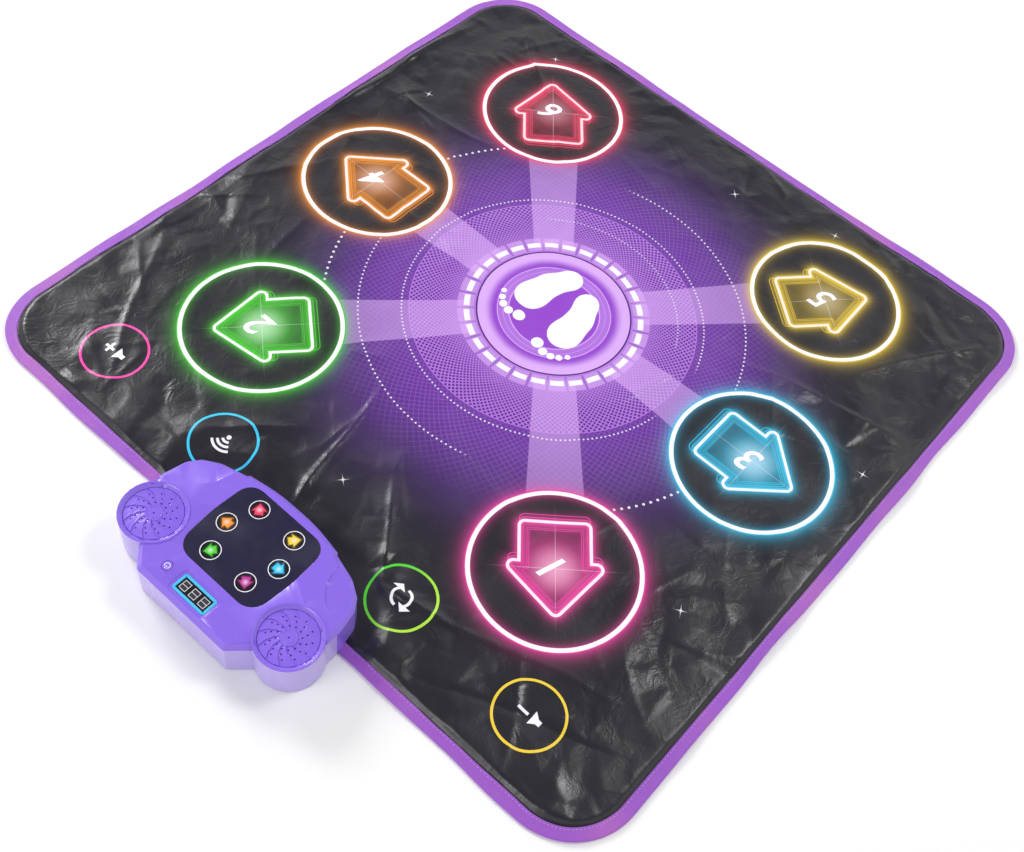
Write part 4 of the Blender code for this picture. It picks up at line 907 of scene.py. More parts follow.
class PrintedCover:
    """The printed vinyl: one sheet laid out as a grid, then divided along the press zones' seams."""

    cell = 2.6 * MILLIMETRE
    edge_inset = 1.1 * MILLIMETRE
    seam = 0.2 * MILLIMETRE
    grip = 0.3 * MILLIMETRE
    patch_share = 0.86
    seam_share = 0.995
    snap_rounds = 3
    snap_probe = 1e-5
    on_curve = 1e-7

    def __init__(self, plan: MatPlan, folds: Folds) -> None:
        """Keeps the sizes and the folds.

        Args:
            plan: The mat's sizes.
            folds: Its folds.
        """
        self.plan = plan
        self.folds = folds
        self.seams = [(*zone.centre, zone.radius + self.seam) for zone in ZONES]

    def grid(self) -> tuple[np.ndarray, np.ndarray]:
        """Lays out the flat sheet.

        Returns:
            Its points and its four-cornered faces.
        """
        half_x, half_y = (h - self.edge_inset for h in self.plan.half)
        bm = bmesh.new()
        counts = (round(2 * half_x / self.cell), round(2 * half_y / self.cell))
        spread = Matrix.Diagonal((half_x, half_y, 1.0, 1.0))
        bmesh.ops.create_grid(bm, x_segments=counts[0], y_segments=counts[1], size=1.0, matrix=spread)
        points = np.array([v.co.xy[:] for v in bm.verts])
        faces = np.array([[v.index for v in f.verts] for f in bm.faces])
        bm.free()
        return points, faces

    @staticmethod
    def from_ring(ring: tuple[float, float, float], points: np.ndarray) -> np.ndarray:
        """Measures out from a ring, given as its centre's X and Y and its radius.

        Args:
            ring: The ring.
            points: The points.

        Returns:
            Their signed distances, below 0 inside.
        """
        x, y, radius = ring
        return np.hypot(points[:, 0] - x, points[:, 1] - y) - radius

    def from_outline(self, points: np.ndarray) -> np.ndarray:
        """The points' signed distances from the sheet's own outline, below 0 inside."""
        return self.edge_inset - self.plan.rim(points[:, 0], points[:, 1])

    def snap(
        self, points: np.ndarray, faces: np.ndarray, signed: Callable[[np.ndarray], np.ndarray]
    ) -> np.ndarray:
        """Moves grid points onto a curve, so that no edge crosses it.

        Args:
            points: The sheet's points, changed in place.
            faces: Its faces.
            signed: Gives points' signed distances from the curve.

        Returns:
            Every point's signed distance afterwards, 0 on the curve.
        """
        distance = signed(points)
        edges = np.concatenate([faces[:, [i, (i + 1) % 4]] for i in range(4)])
        a, b = edges[:, 0], edges[:, 1]
        crossed = distance[a] * distance[b] < 0.0
        a, b = a[crossed], b[crossed]
        chosen = np.unique(np.where(np.abs(distance[a]) < np.abs(distance[b]), a, b))
        probe = self.snap_probe
        for _ in range(self.snap_rounds):
            here = points[chosen]
            value = signed(here)
            slope_x = (signed(here + (probe, 0.0)) - value) / probe
            slope_y = (signed(here + (0.0, probe)) - value) / probe
            points[chosen] = here - np.stack([slope_x, slope_y], axis=1) * value[:, None]
        distance = signed(points)
        distance[chosen] = 0.0
        return distance

    def divide(self) -> dict[str, list[tuple[int, ...]]]:
        """Lays out the sheet and divides its faces among the cover and the press zones.

        Returns:
            Each piece's faces, by its name.
        """
        points, faces = self.grid()
        sides = [self.snap(points, faces, partial(self.from_ring, ring)) for ring in self.seams]
        outline = self.snap(points, faces, self.from_outline)
        names = [zone.node for zone in ZONES]
        cuts = [*zip(names, sides), ("outside", -outline)]
        pieces: dict[str, list[tuple[int, ...]]] = {name: [] for name in ("cover", *names, "outside")}
        owner = np.full(len(faces), "cover", dtype=object)
        split = np.zeros(len(faces), bool)
        for name, side in cuts:
            corners = side[faces]
            under, over = (corners < -self.on_curve).any(axis=1), (corners > self.on_curve).any(axis=1)
            owner[under & ~over] = name
            split |= under & over
        for face, name in zip(faces[~split], owner[~split]):
            pieces[name].append(tuple(face))
        for face in faces[split]:
            for name, side in cuts:
                values = side[face]
                if (values < -self.on_curve).any() and (values > self.on_curve).any():
                    first = 1 if abs(values[1]) <= self.on_curve else 0
                    for turn in (first, first + 2):
                        three = [face[turn % 4], face[(turn + 1) % 4], face[(turn + 2) % 4]]
                        middle = side[three].sum()
                        pieces[name if middle < 0.0 else "cover"].append(tuple(three))
                    break
        pieces.pop("outside")
        self.points = points
        return pieces

    def spots(self) -> np.ndarray:
        """Lifts the sheet's points onto the layers below and the folds.

        Returns:
            The points, one row each.
        """
        x, y = self.points[:, 0], self.points[:, 1]
        edge = self.plan.tape
        level = ease(self.plan.rim(x, y), edge + self.grip, edge + self.plan.rim_slope)
        z = self.plan.rim_top + (self.plan.top - self.plan.rim_top) * level
        return np.column_stack([x, y, z + self.folds.height(x, y)])

    @staticmethod
    def shared_normals(spots: np.ndarray, faces: Sequence[tuple[int, ...]]) -> np.ndarray:
        """Takes the whole sheet's normals, so that no shading seam shows between its pieces.

        Args:
            spots: The sheet's points.
            faces: All its faces.

        Returns:
            One normal for each point.
        """
        whole = bpy.data.meshes.new("whole_sheet")
        whole.from_pydata(spots, [], faces)
        whole.update()
        normals = np.empty(len(spots) * 3, np.float32)
        whole.vertex_normals.foreach_get("vector", normals)
        bpy.data.meshes.remove(whole)
        return normals.reshape(-1, 3)

    def build(self) -> dict[str, bpy.types.Object]:
        """Builds the cover and the ten press zones with one set of normals.

        Returns:
            The objects by name, the cover under "cover".
        """
        pieces = self.divide()
        spots = self.spots()
        normals = self.shared_normals(spots, [face for faces in pieces.values() for face in faces])
        made = {}
        for name, faces in pieces.items():
            used = np.unique(np.concatenate([np.array(face) for face in faces]))
            place = np.full(len(spots), -1)
            place[used] = np.arange(len(used))
            mesh = bpy.data.meshes.new(name)
            mesh.from_pydata(spots[used], [], [tuple(place[list(face)]) for face in faces])
            mesh.update()
            mesh.shade_smooth()
            mesh.normals_split_custom_set_from_vertices(normals[used])
            full_name = "printed_cover" if name == "cover" else f"{name}_vinyl"
            made[name] = bpy.data.objects.new(full_name, mesh)
            bpy.context.scene.collection.objects.link(made[name])
        return made

    def dress(self, made: dict[str, bpy.types.Object]) -> None:
        """Prints the pieces and puts the cover on its body.

        Args:
            made: The objects that build made.
        """
        art = MatArt()
        vinyl = Vinyl()
        cover = made["cover"]
        cover.data.materials.append(vinyl.material("cover_print", art.draw_cover))
        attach(cover, ROOT_BODY)
        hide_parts("mat_top_cover")
        for zone in ZONES:
            piece = made[zone.node]
            draw = partial(art.draw_function_pad if zone.sign else art.draw_step_pad, zone)
            piece.data.materials.append(vinyl.material(f"{zone.node}_print", draw))
            self.hang(piece, zone)
            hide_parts(zone.node)

    def hang(self, piece: bpy.types.Object, zone: PressZone) -> None:
        """Bakes a zone's vinyl into place and weighs each point between its patch and the cover at its
        seam; the weights are not applied.

        Args:
            piece: The zone's vinyl.
            zone: The zone.
        """
        x, y = zone.centre
        start = (x + zone.radius, y, self.plan.top)
        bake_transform(piece)
        spots = np.empty(len(piece.data.vertices) * 3, np.float32)
        piece.data.vertices.foreach_get("co", spots)
        spots = spots.reshape(-1, 3)
        reach = np.hypot(spots[:, 0] - x, spots[:, 1] - y)
        share = 1.0 - ease(reach, self.patch_share * zone.radius, self.seam_share * zone.radius)


@dataclass(frozen=True)
class BroadArrow:
    """A broad arrow that points to +Y, with rounded corners."""

    tip: float = 0.0590
    neck: float = -0.0080
    rear: float = -0.0580
    head: float = 0.0610
    shaft: float = 0.0400
    soft: float = 0.0068

    @staticmethod
    def side(u: Field, v: Field, start: Sequence[float], end: Sequence[float]) -> tuple[Field, Field]:
        """One straight side of the shape.

        Args:
            u: The distance across.
            v: The distance along.
            start: The side's first end.
            end: Its last end, with the shape's inside on the right.

        Returns:
            The square of the distance from the side, and how far out of its line the point is.
        """
        length = math.dist(start, end)
        run, rise = (end[0] - start[0]) / length, (end[1] - start[1]) / length
        middle = ((start[0] + end[0]) / 2, (start[1] + end[1]) / 2)
        ahead = u * run + v * rise - (middle[0] * run + middle[1] * rise)
        out = v * run - u * rise - (middle[1] * run - middle[0] * rise)
        past = (ahead.size() - length / 2).most(0.0)
        return past * past + out * out, out

    def outline(self, u: Field, v: Field, back: float = 0.0) -> Field:
        """Measures from the arrow's outline.

        Args:
            u: The distance across.
            v: The distance along.
            back: How far the arrow is drawn back.

        Returns:
            The signed distance, below 0 inside.
        """
        soft, barb = self.soft, self.tip - self.neck
        slope = math.hypot(barb, self.head)
        top = self.tip - soft * slope / self.head
        wide = (self.head * barb - soft * (slope + self.head)) / barb
        corners = (
            (0.0, top),
            (wide, self.neck + soft),
            (self.shaft - soft, self.neck + soft),
            (self.shaft - soft, self.rear + soft),
        )
        ends = (*corners[1:], (0.0, self.rear + soft))
        across, along = u.size(), v + back
        sides = [self.side(across, along, start, end) for start, end in zip(corners, ends)]
        nearest = sides[0][0]
        for square, _ in sides[1:]:
            nearest = nearest.least(square)
        point = sides[0][1].most(sides[1][1])
        stem = sides[2][1].most(sides[3][1]).most(sides[1][1] * -1.0 - 2 * soft)
        return nearest.math("SQRT") * point.least(stem).math("SIGN") - soft


@dataclass(frozen=True)
class Spot:
    """A round spot of ink."""

    x: float
    y: float
    radius: float

    def outline(self, x: Field, y: Field) -> Field:
        """The signed distance from the spot's edge."""
        square = (x - self.x).math("POWER", 2.0) + (y - self.y).math("POWER", 2.0)
        return square.math("SQRT") - self.radius


@dataclass(frozen=True)
class Footprint:
    """One foot of the pair: where it stands on the disc, and how far it is turned, in degrees."""

    x: float
    y: float
    turn: float
    left: bool

    sole = (Spot(-0.0035, 0.0300, 0.0108), Spot(0.0042, 0.0080, 0.0092), Spot(0.0020, -0.0180, 0.0162))
    toes = (
        Spot(-0.0120, -0.0425, 0.0062),
        Spot(-0.0015, -0.0478, 0.0045),
        Spot(0.0075, -0.0475, 0.0039),
        Spot(0.0148, -0.0435, 0.0034),
        Spot(0.0207, -0.0372, 0.0028),
    )
    waist = 0.040
    size = 1.26

    def outline(self, middle: Place) -> Field:
        """Measures from the footprint's outline.

        Args:
            middle: The point as seen from the pattern's centre.

        Returns:
            The signed distance, below 0 inside.
        """
        parts = middle.about(self.x, self.y, math.radians(self.turn)).parts()
        across, along = (part / self.size for part in parts)
        across = across * -1.0 if self.left else across
        foot = self.sole[0].outline(across, along)
        for spot in self.sole[1:]:
            foot = foot.least(spot.outline(across, along), self.waist)
        for toe in self.toes:
            foot = foot.least(toe.outline(across, along))
        return foot


@dataclass(frozen=True)
class DotRing:
    """A stretch of a ring of dots, from start to end in shares of a full turn."""

    radius: float
    count: int
    dot: float
    start: float
    end: float
    fade: float = 0.02
    blur: float = 0.6 * MILLIMETRE

    def mask(self, r: Field, turn: Field) -> Field:
        """Draws the dots.

        Args:
            r: The distance from the centre.
            turn: The direction, in turns.

        Returns:
            1 on the dots.
        """
        along = turn.nearest(1.0 / self.count) * (2 * HALF_TURN * self.radius)
        out = r - self.radius
        near = (along.math("POWER", 2.0) + out.math("POWER", 2.0)).math("SQRT")
        opening = turn.between(self.start, self.start + self.fade)
        stretch = opening * turn.between(self.end - self.fade, self.end, 1.0, 0.0)
        return near.inside(self.dot, self.blur) * stretch


@dataclass(frozen=True)
class Star:
    """A small star of crossed rays, turned by an angle in radians."""

    x: float
    y: float
    turn: float
    ray: float = 2.2e-6
    heart: float = 1.0 * MILLIMETRE
    reach: float = 11.0 * MILLIMETRE

    def mask(self, place: Place) -> Field:
        """Draws the star.

        Args:
            place: The point on the mat.

        Returns:
            1 on its rays, which fade towards their tips.
        """
        u, v = place.about(self.x, self.y, self.turn).parts()
        product = (u * v).size()
        radius = u.size().most(v.size())
        return product.between(0.0, self.ray, 1.0, 0.0) * radius.between(self.heart, self.reach, 1.0, 0.0)


@dataclass(frozen=True)
class Haze:
    """A round glow on the cover, full up to one radius and gone at another."""

    ink: Ink
    full: float
    gone: float
    strength: float = 1.0


class MatArt:
    """The print: a dance pattern of plain rings, beams, arrows and dots."""

    hazes = (
        Haze(Ink.NIGHT, 0.28, 0.42, strength=0.9),
        Haze(Ink.DUSK, 0.22, 0.37),
        Haze(Ink.DEEP_VIOLET, 0.17, 0.32),
    )
    haze_scale = 7.0
    haze_drift = 0.05

    mesh_edge = 0.1800
    mesh_start = 0.118
    mesh_count = 168.0
    mesh_twist = 27.0
    mesh_line = (0.12, 0.26)
    faint_line = (0.03, 0.12)
    faint_reach = (0.20, 0.31)
    mesh_glow = 0.150

    beam_half = 0.0200
    beam_widen = 0.05
    beam_blur = 1.2 * MILLIMETRE
    beam_start = 0.112
    beam_end = 0.3200
    beam_fade = (0.13, 0.30, 0.47, 0.33)

    disc = 0.0965
    disc_halo = 0.0035
    disc_band = (0.0740, 0.0880)
    inner_disc = 0.0710
    inner_ring = 0.0640
    core_ring = 0.0572
    core = 0.0560
    ring_line = 0.6 * MILLIMETRE
    hairline = 0.3 * MILLIMETRE
    shadow_line = 1.0 * MILLIMETRE
    dash_ring = 0.1090
    dash_half = 0.0036
    dash_count = 30
    dash_gap = (0.11, 0.15)
    block_ring = 0.1100
    block_half = 0.0105
    block_gap = (0.055, 0.085)

    feet = (Footprint(-0.0300, 0.0200, -13.0, left=True), Footprint(0.0270, 0.0040, 4.0, left=False))
    dot_rings = (
        DotRing(0.1890, 220, 0.0011, start=0.04, end=0.98),
        DotRing(0.1560, 200, 0.0008, start=0.06, end=0.38),
        DotRing(0.2420, 236, 0.0012, start=0.02, end=0.30),
        DotRing(0.2420, 236, 0.0012, start=0.52, end=0.80),
        DotRing(0.2860, 200, 0.0017, start=0.36, end=0.62),
        DotRing(0.2860, 200, 0.0017, start=0.86, end=0.99),
    )
    stars = (
        Star(-0.372, 0.205, 0.3),
        Star(0.040, 0.372, 0.8),
        Star(0.412, 0.115, 0.1),
        Star(0.362, -0.178, 0.5),
        Star(-0.010, -0.318, 0.9),
        Star(0.180, 0.410, 0.2),
        Star(-0.300, 0.395, 0.6),
    )

    arrow = BroadArrow()
    zone_ring = 0.0958
    zone_line = 0.0026
    glow_reach = 0.0058
    inner_glow = 0.0034
    arrow_fill_reach = 0.052
    arrow_fill_drop = 5
    arrow_heart_reach = 0.036
    arrow_heart = 0.45
    arrow_edge_glow = 0.0052
    arrow_glow = 0.0040
    arrow_line = 0.0018
    arrow_white = 0.56
    arrow_white_gain = 0.44
    inner_lines = (0.0088, 0.0108)
    inner_line = 0.35 * MILLIMETRE
    back_lines = (0.0046, 0.0088)
    back_line = 0.45 * MILLIMETRE
    flare_reach = (0.012, 0.085)
    flare_blur = 0.8 * MILLIMETRE

    pad_ring_inset = 0.0021
    pad_ring_line = 0.0015
    pad_ring_shadow = 0.0022
    pad_ring_change = 0.030

    def __init__(self) -> None:
        """Finds the pattern's centre, in the middle of the six step pads."""
        places = [zone.centre for zone in STEP_ZONES]
        self.centre = (0.0, sum(y for _, y in places) / len(places))

    def draw_cover(self, tree: bpy.types.NodeTree, place: Place) -> Print:
        """Draws everything outside the press zones.

        Args:
            tree: The material's nodes.
            place: The point on the mat.

        Returns:
            The finished print.
        """
        ink = Print(tree, Ink.CHARCOAL)
        middle = place.about(*self.centre)
        r = middle.distance()
        turn = middle.angle()
        far = r + place.noise(self.haze_scale) * self.haze_drift
        for haze in self.hazes:
            ink.lay(haze.ink, far.between(haze.full, haze.gone, 1.0, 0.0), haze.strength)
        self.draw_mesh(ink, r, turn)
        self.draw_beams(ink, middle, r)
        self.draw_disc(ink, r, turn)
        for foot in self.feet:
            ink.lay(Ink.WHITE, foot.outline(middle).inside())
        for ring in self.dot_rings:
            ink.lay(Ink.WHITE, ring.mask(r, turn), strength=0.8)
        for star in self.stars:
            ink.lay(Ink.WHITE, star.mask(place), strength=0.8)
        for zone in STEP_ZONES:
            ring = place.about(*zone.centre).distance() - self.zone_ring
            ink.lay(zone.ink, ring.glow(self.glow_reach))
            ink.lay(Ink.WHITE, ring.line(self.zone_line))
        return ink

    def draw_mesh(self, ink: Print, r: Field, turn: Field) -> None:
        """Draws the crossing arcs, fine inside the mesh circle and faint beyond it.

        Args:
            ink: The print.
            r: The distance from the centre.
            turn: The direction, in turns.
        """
        spiral = (r / self.disc).math("LOGARITHM", math.e)
        lines = []
        for side in (1.0, -1.0):
            phase = turn * self.mesh_count + spiral * (side * self.mesh_twist)
            lines.append(phase.nearest(1.0))
        near = lines[0].least(lines[1])
        band = r.between(self.disc, self.mesh_start) * r.inside(self.mesh_edge)
        ink.lay(Ink.MESH_SHADOW, band, strength=0.85)
        ink.lay(Ink.LILAC, near.between(*self.mesh_line, 1.0, 0.0) * band, strength=0.85)
        ink.lay(Ink.LILAC, r.between(self.disc, self.mesh_glow, 1.0, 0.0), strength=0.55)
        ink.lay(Ink.LILAC, (r - self.mesh_edge).line(0.5 * MILLIMETRE), strength=0.8)
        past = (r - self.mesh_edge).between(0.0, 1.0 * MILLIMETRE)
        beyond = past * r.between(*self.faint_reach, 1.0, 0.0)
        ink.lay(Ink.LILAC, near.between(*self.faint_line, 1.0, 0.0) * beyond, strength=0.32)

    def draw_beams(self, ink: Print, middle: Place, r: Field) -> None:
        """Draws a pale beam from the disc to every step pad.

        Args:
            ink: The print.
            middle: The point as seen from the pattern's centre.
            r: Its distance from there.
        """
        x, y = middle.parts()
        across, up = x.size(), y.size()
        reach_x, reach_y = (abs(a) for a in np.subtract(STEP_ZONES[0].centre, self.centre))
        length = math.hypot(reach_x, reach_y)
        slant = (across * (reach_y / length) - up * (reach_x / length)).size()
        widen = r * self.beam_widen
        nearest = slant.least(up)
        beam = (nearest - widen).inside(self.beam_half, self.beam_blur)
        fade = r.between(self.disc, self.beam_start) * r.inside(self.beam_end)
        ink.lay(Ink.PALE_LILAC, beam * fade * r.between(*self.beam_fade))

    def blocks(self, turn: Field, gap: tuple[float, float]) -> Field:
        """Breaks a ring into blocks.

        Args:
            turn: The direction, in turns.
            gap: Where the ink starts and where it is full, as shares of the pitch.

        Returns:
            1 on the blocks and 0 in the gaps.
        """
        step = 1.0 / self.dash_count
        return (turn.nearest(step) * -1.0 + step / 2).between(gap[0] * step, gap[1] * step)

    def draw_disc(self, ink: Print, r: Field, turn: Field) -> None:
        """Draws the disc with its bands and the dashed ring round it.

        Args:
            ink: The print.
            r: The distance from the centre.
            turn: The direction, in turns.
        """
        blocks = self.blocks(turn, self.block_gap)
        wide = (r - self.block_ring).line(self.block_half, 1.0 * MILLIMETRE)
        ink.lay(Ink.PALE_LILAC, wide * blocks, strength=0.50)
        dashes = self.blocks(turn, self.dash_gap)
        ink.lay(Ink.WHITE, (r - self.dash_ring).line(self.dash_half) * dashes, strength=0.92)
        ink.lay(Ink.LILAC, r.inside(self.disc + self.disc_halo, 2.0 * MILLIMETRE), strength=0.9)
        ink.lay(Ink.VIOLET, r.inside(self.disc))
        ink.lay(Ink.PALE_LILAC, r.between(*self.disc_band) * r.inside(self.disc), strength=0.95)
        ink.lay(Ink.LILAC, r.inside(self.inner_disc), strength=0.75)
        ink.lay(Ink.PALE_LILAC, (r - self.inner_disc).line(self.ring_line), strength=0.85)
        ink.lay(Ink.VIOLET, r.inside(self.core))
        ink.lay(Ink.PALE_LILAC, (r - self.core_ring).line(self.ring_line), strength=0.9)
        ink.lay(Ink.PALE_LILAC, (r - self.inner_ring).line(self.hairline), strength=0.7)
        ink.lay(Ink.RING_SHADOW, (r - self.disc).line(self.shadow_line))

    def outward(self, zone: PressZone) -> float:
        """The angle of the axes whose +Y points from the pattern's centre to a zone."""
        x, y = np.subtract(zone.centre, self.centre)
        return math.atan2(y, x) - QUARTER_TURN

    def draw_step_pad(self, zone: PressZone, tree: bpy.types.NodeTree, place: Place) -> Print:
        """Draws one step pad: its ring and its neon arrow.

        Args:
            zone: The pad.
            tree: The material's nodes.
            place: The point on the mat.

        Returns:
            The finished print.
        """
        local = place.about(*zone.centre, self.outward(zone))
        u, v = local.parts()
        r = local.distance()
        ring = r - self.zone_ring
        edge = self.arrow.outline(u, v)
        ink = Print(tree, Ink.CHARCOAL)
        ink.lay(zone.ink, ring.glow(self.inner_glow), strength=0.8)
        outside = ring.glow(self.glow_reach) * ring.between(-0.1 * MILLIMETRE, 0.1 * MILLIMETRE)
        ink.lay(zone.ink, outside, strength=1.2)
        within = edge.inside()
        faint = zone.fill / self.arrow_fill_drop
        ink.lay(zone.ink, within * r.between(0.0, self.arrow_fill_reach, zone.fill, faint))
        ink.lay(zone.ink, within * edge.glow(self.arrow_edge_glow), strength=0.6)
        heart = r.between(0.0, self.arrow_heart_reach, zone.fill * self.arrow_heart, 0.0)
        ink.lay(Ink.WHITE, within * heart)
        for inset in self.inner_lines:
            ink.lay(zone.ink, (edge + inset).line(self.inner_line), strength=0.75)
        for back in self.back_lines:
            ink.lay(zone.ink, self.arrow.outline(u, v, back).line(self.back_line), strength=0.8)
        ink.lay(zone.ink, edge.glow(self.arrow_glow), strength=1.1)
        white = self.arrow_white + self.arrow_white_gain * zone.fill
        ink.lay(Ink.WHITE, edge.line(self.arrow_line), white)
        rays = u.line(self.hairline, self.flare_blur).most(v.line(self.hairline, self.flare_blur))
        ink.lay(Ink.WHITE, rays * r.between(*self.flare_reach, 0.45, 0.0))
        ink.lay(Ink.WHITE, ring.line(self.zone_line))
        return ink

    def draw_function_pad(self, zone: PressZone, tree: bpy.types.NodeTree, place: Place) -> Print:
        """Draws one function pad: its thin ring and its sign.

        Args:
            zone: The pad.
            tree: The material's nodes.
            place: The point on the mat.

        Returns:
            The finished print.
        """
        local = place.about(*zone.centre, HALF_TURN)
        x, y = local.parts()
        ring = local.distance() - (zone.radius - self.pad_ring_inset)
        ink = Print(tree, Ink.CHARCOAL)
        ink.lay(Ink.BLACK, ring.line(self.pad_ring_shadow), strength=0.6)
        ink.lay(zone.ink, ring.line(self.pad_ring_line))
        if zone.left_ink:
            change = self.pad_ring_change
            ink.lay(zone.left_ink, ring.line(self.pad_ring_line) * x.between(-change, change, 1.0, 0.0))
        ink.lay(Ink.WHITE, self.sign(zone.sign, x, y))
        return ink

    def sign(self, sign: Sign, x: Field, y: Field) -> Field:
        """Draws a function pad's sign.

        Args:
            sign: Which sign.
            x: The distance across the pad.
            y: The distance up the pad.

        Returns:
            1 on the sign.
        """
        if sign is Sign.WIRELESS:
            return self.wireless_sign(x, y)
        if sign is Sign.NEXT:
            return self.cycle_sign(x, y)
        return self.volume_sign(x, y, louder=sign is Sign.LOUDER)

    @staticmethod
    def bar(x: Field, y: Field, half_x: float, half_y: float) -> Field:
        """The signed distance from an upright bar."""
        return (x.size() - half_x).most(y.size() - half_y)

    def volume_sign(self, x: Field, y: Field, louder: bool) -> Field:
        """Draws a plain loudspeaker with a plus or a minus.

        Args:
            x: The distance across the pad.
            y: The distance up the pad.
            louder: Whether it has a plus.

        Returns:
            1 on the sign.
        """
        arm, thick = 0.0068, 0.0016
        box = self.bar(x + 0.0125, y, half_x=0.0026, half_y=0.0030)
        cone = self.bar(x + 0.0070, y, half_x=0.0036, half_y=1.0)
        horn = cone.most(y.size() - (x + 0.0145) * 0.75)
        sign = self.bar(x - 0.0080, y, arm, thick)
        if louder:
            sign = sign.least(self.bar(x - 0.0080, y, thick, arm))
        return box.least(horn).least(sign).inside()

    @staticmethod
    def wireless_sign(x: Field, y: Field) -> Field:
        """Draws a dot with three arcs over it.

        Args:
            x: The distance across the pad.
            y: The distance up the pad.

        Returns:
            1 on the sign.
        """
        dot, first, pitch, half_line = 0.0028, 0.0068, 0.0060, 0.0015
        low = y + 0.0085
        r = (x * x + low * low).math("SQRT")
        arcs = (r - first).size()
        for count in (1, 2):
            arcs = arcs.least((r - (first + count * pitch)).size())
        arcs = arcs - half_line
        return arcs.most(x.size() - low * 0.95).least(r - dot).inside()

    @staticmethod
    def cycle_sign(x: Field, y: Field) -> Field:
        """Draws two arrows that chase each other round a circle.

        Args:
            x: The distance across the pad.
            y: The distance up the pad.

        Returns:
            1 on the sign.
        """
        radius, half_line = 0.0110, 0.0016
        flip = x.math("SIGN")
        u, v = x * flip, y * flip
        arc = ((u * u + v * v).math("SQRT") - radius).size() - half_line
        arc = arc.most(v * -1.0 - 0.0070)
        head = (u - 0.0094).size() * 0.9 - v - 0.0135
        return arc.least(head.most(v + 0.0060)).inside()


class Numerals:
    """The step pads' white numerals, laid on the cover as thin ink."""

    lift = 0.10 * MILLIMETRE
    height = 0.047
    slant = 0.3
    boldness = 0.7 * MILLIMETRE
    mesh_step = 3.0 * MILLIMETRE
    most_cuts = 4

    def __init__(self, plan: MatPlan, folds: Folds) -> None:
        """Keeps the sizes, the folds and the ink.

        Args:
            plan: The mat's sizes.
            folds: Its folds.
        """
        self.plan = plan
        self.folds = folds
        self.ink = Moulding(Ink.WHITE, roughness=0.35, drift=0.02).material("white_ink")

    def drape(self, name: str, bm: bmesh.types.BMesh, body: str) -> bpy.types.Object:
        """Lays a flat numeral on the folds and rides it on a body.

        Args:
            name: The numeral's name.
            bm: The numeral, flat and in its place.
            body: The body that it rides on.

        Returns:
            The numeral.
        """
        bmesh.ops.triangulate(bm, faces=bm.faces)
        for _ in range(self.most_cuts):
            long = [edge for edge in bm.edges if edge.calc_length() > self.mesh_step]
            if not long:
                break
            bmesh.ops.subdivide_edges(bm, edges=long, cuts=1)
            bmesh.ops.triangulate(bm, faces=bm.faces)
        x = np.array([v.co.x for v in bm.verts])
        y = np.array([v.co.y for v in bm.verts])
        z = self.plan.top + self.folds.height(x, y) + self.lift
        for vertex, height in zip(bm.verts, z):
            vertex.co.z = height
        bmesh.ops.recalc_face_normals(bm, faces=bm.faces)
        if sum(face.normal.z for face in bm.faces) < 0.0:
            bmesh.ops.reverse_faces(bm, faces=bm.faces)
        obj = mesh_object(name, bm)
        obj.data.materials.append(self.ink)
        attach(obj, body)
        return obj

    def flat_numeral(self, digit: str, x: float, y: float) -> bmesh.types.BMesh:
        """Makes a slanted numeral that reads from the far side of the mat.

        Args:
            digit: The numeral.
            x: Its centre's X.
            y: Its centre's Y.

        Returns:
            The flat numeral.
        """
        curve = bpy.data.curves.new("numeral", "FONT")
        curve.body = digit
        curve.align_x = "CENTER"
        curve.align_y = "CENTER"
        curve.size = self.height
        curve.shear = self.slant
        curve.offset = self.boldness
        holder = bpy.data.objects.new("numeral", curve)
        bpy.context.scene.collection.objects.link(holder)
        bpy.context.view_layer.update()
        graph = bpy.context.evaluated_depsgraph_get()
        mesh = bpy.data.meshes.new_from_object(holder.evaluated_get(graph))
        bm = bmesh.new()
        bm.from_mesh(mesh)
        bmesh.ops.remove_doubles(bm, verts=bm.verts, dist=SAME_SPOT)
        turned = Matrix.Translation((x, y, 0.0)) @ Matrix.Rotation(HALF_TURN, 4, "Z")
        bmesh.ops.transform(bm, matrix=turned, verts=bm.verts)
        bpy.data.objects.remove(holder)
        bpy.data.meshes.remove(mesh)
        return bm

    def build(self) -> None:
        """Builds every pad's numeral."""
        for zone in STEP_ZONES:
            self.drape(f"{zone.node}_numeral", self.flat_numeral(zone.node[-1], *zone.centre), zone.node)


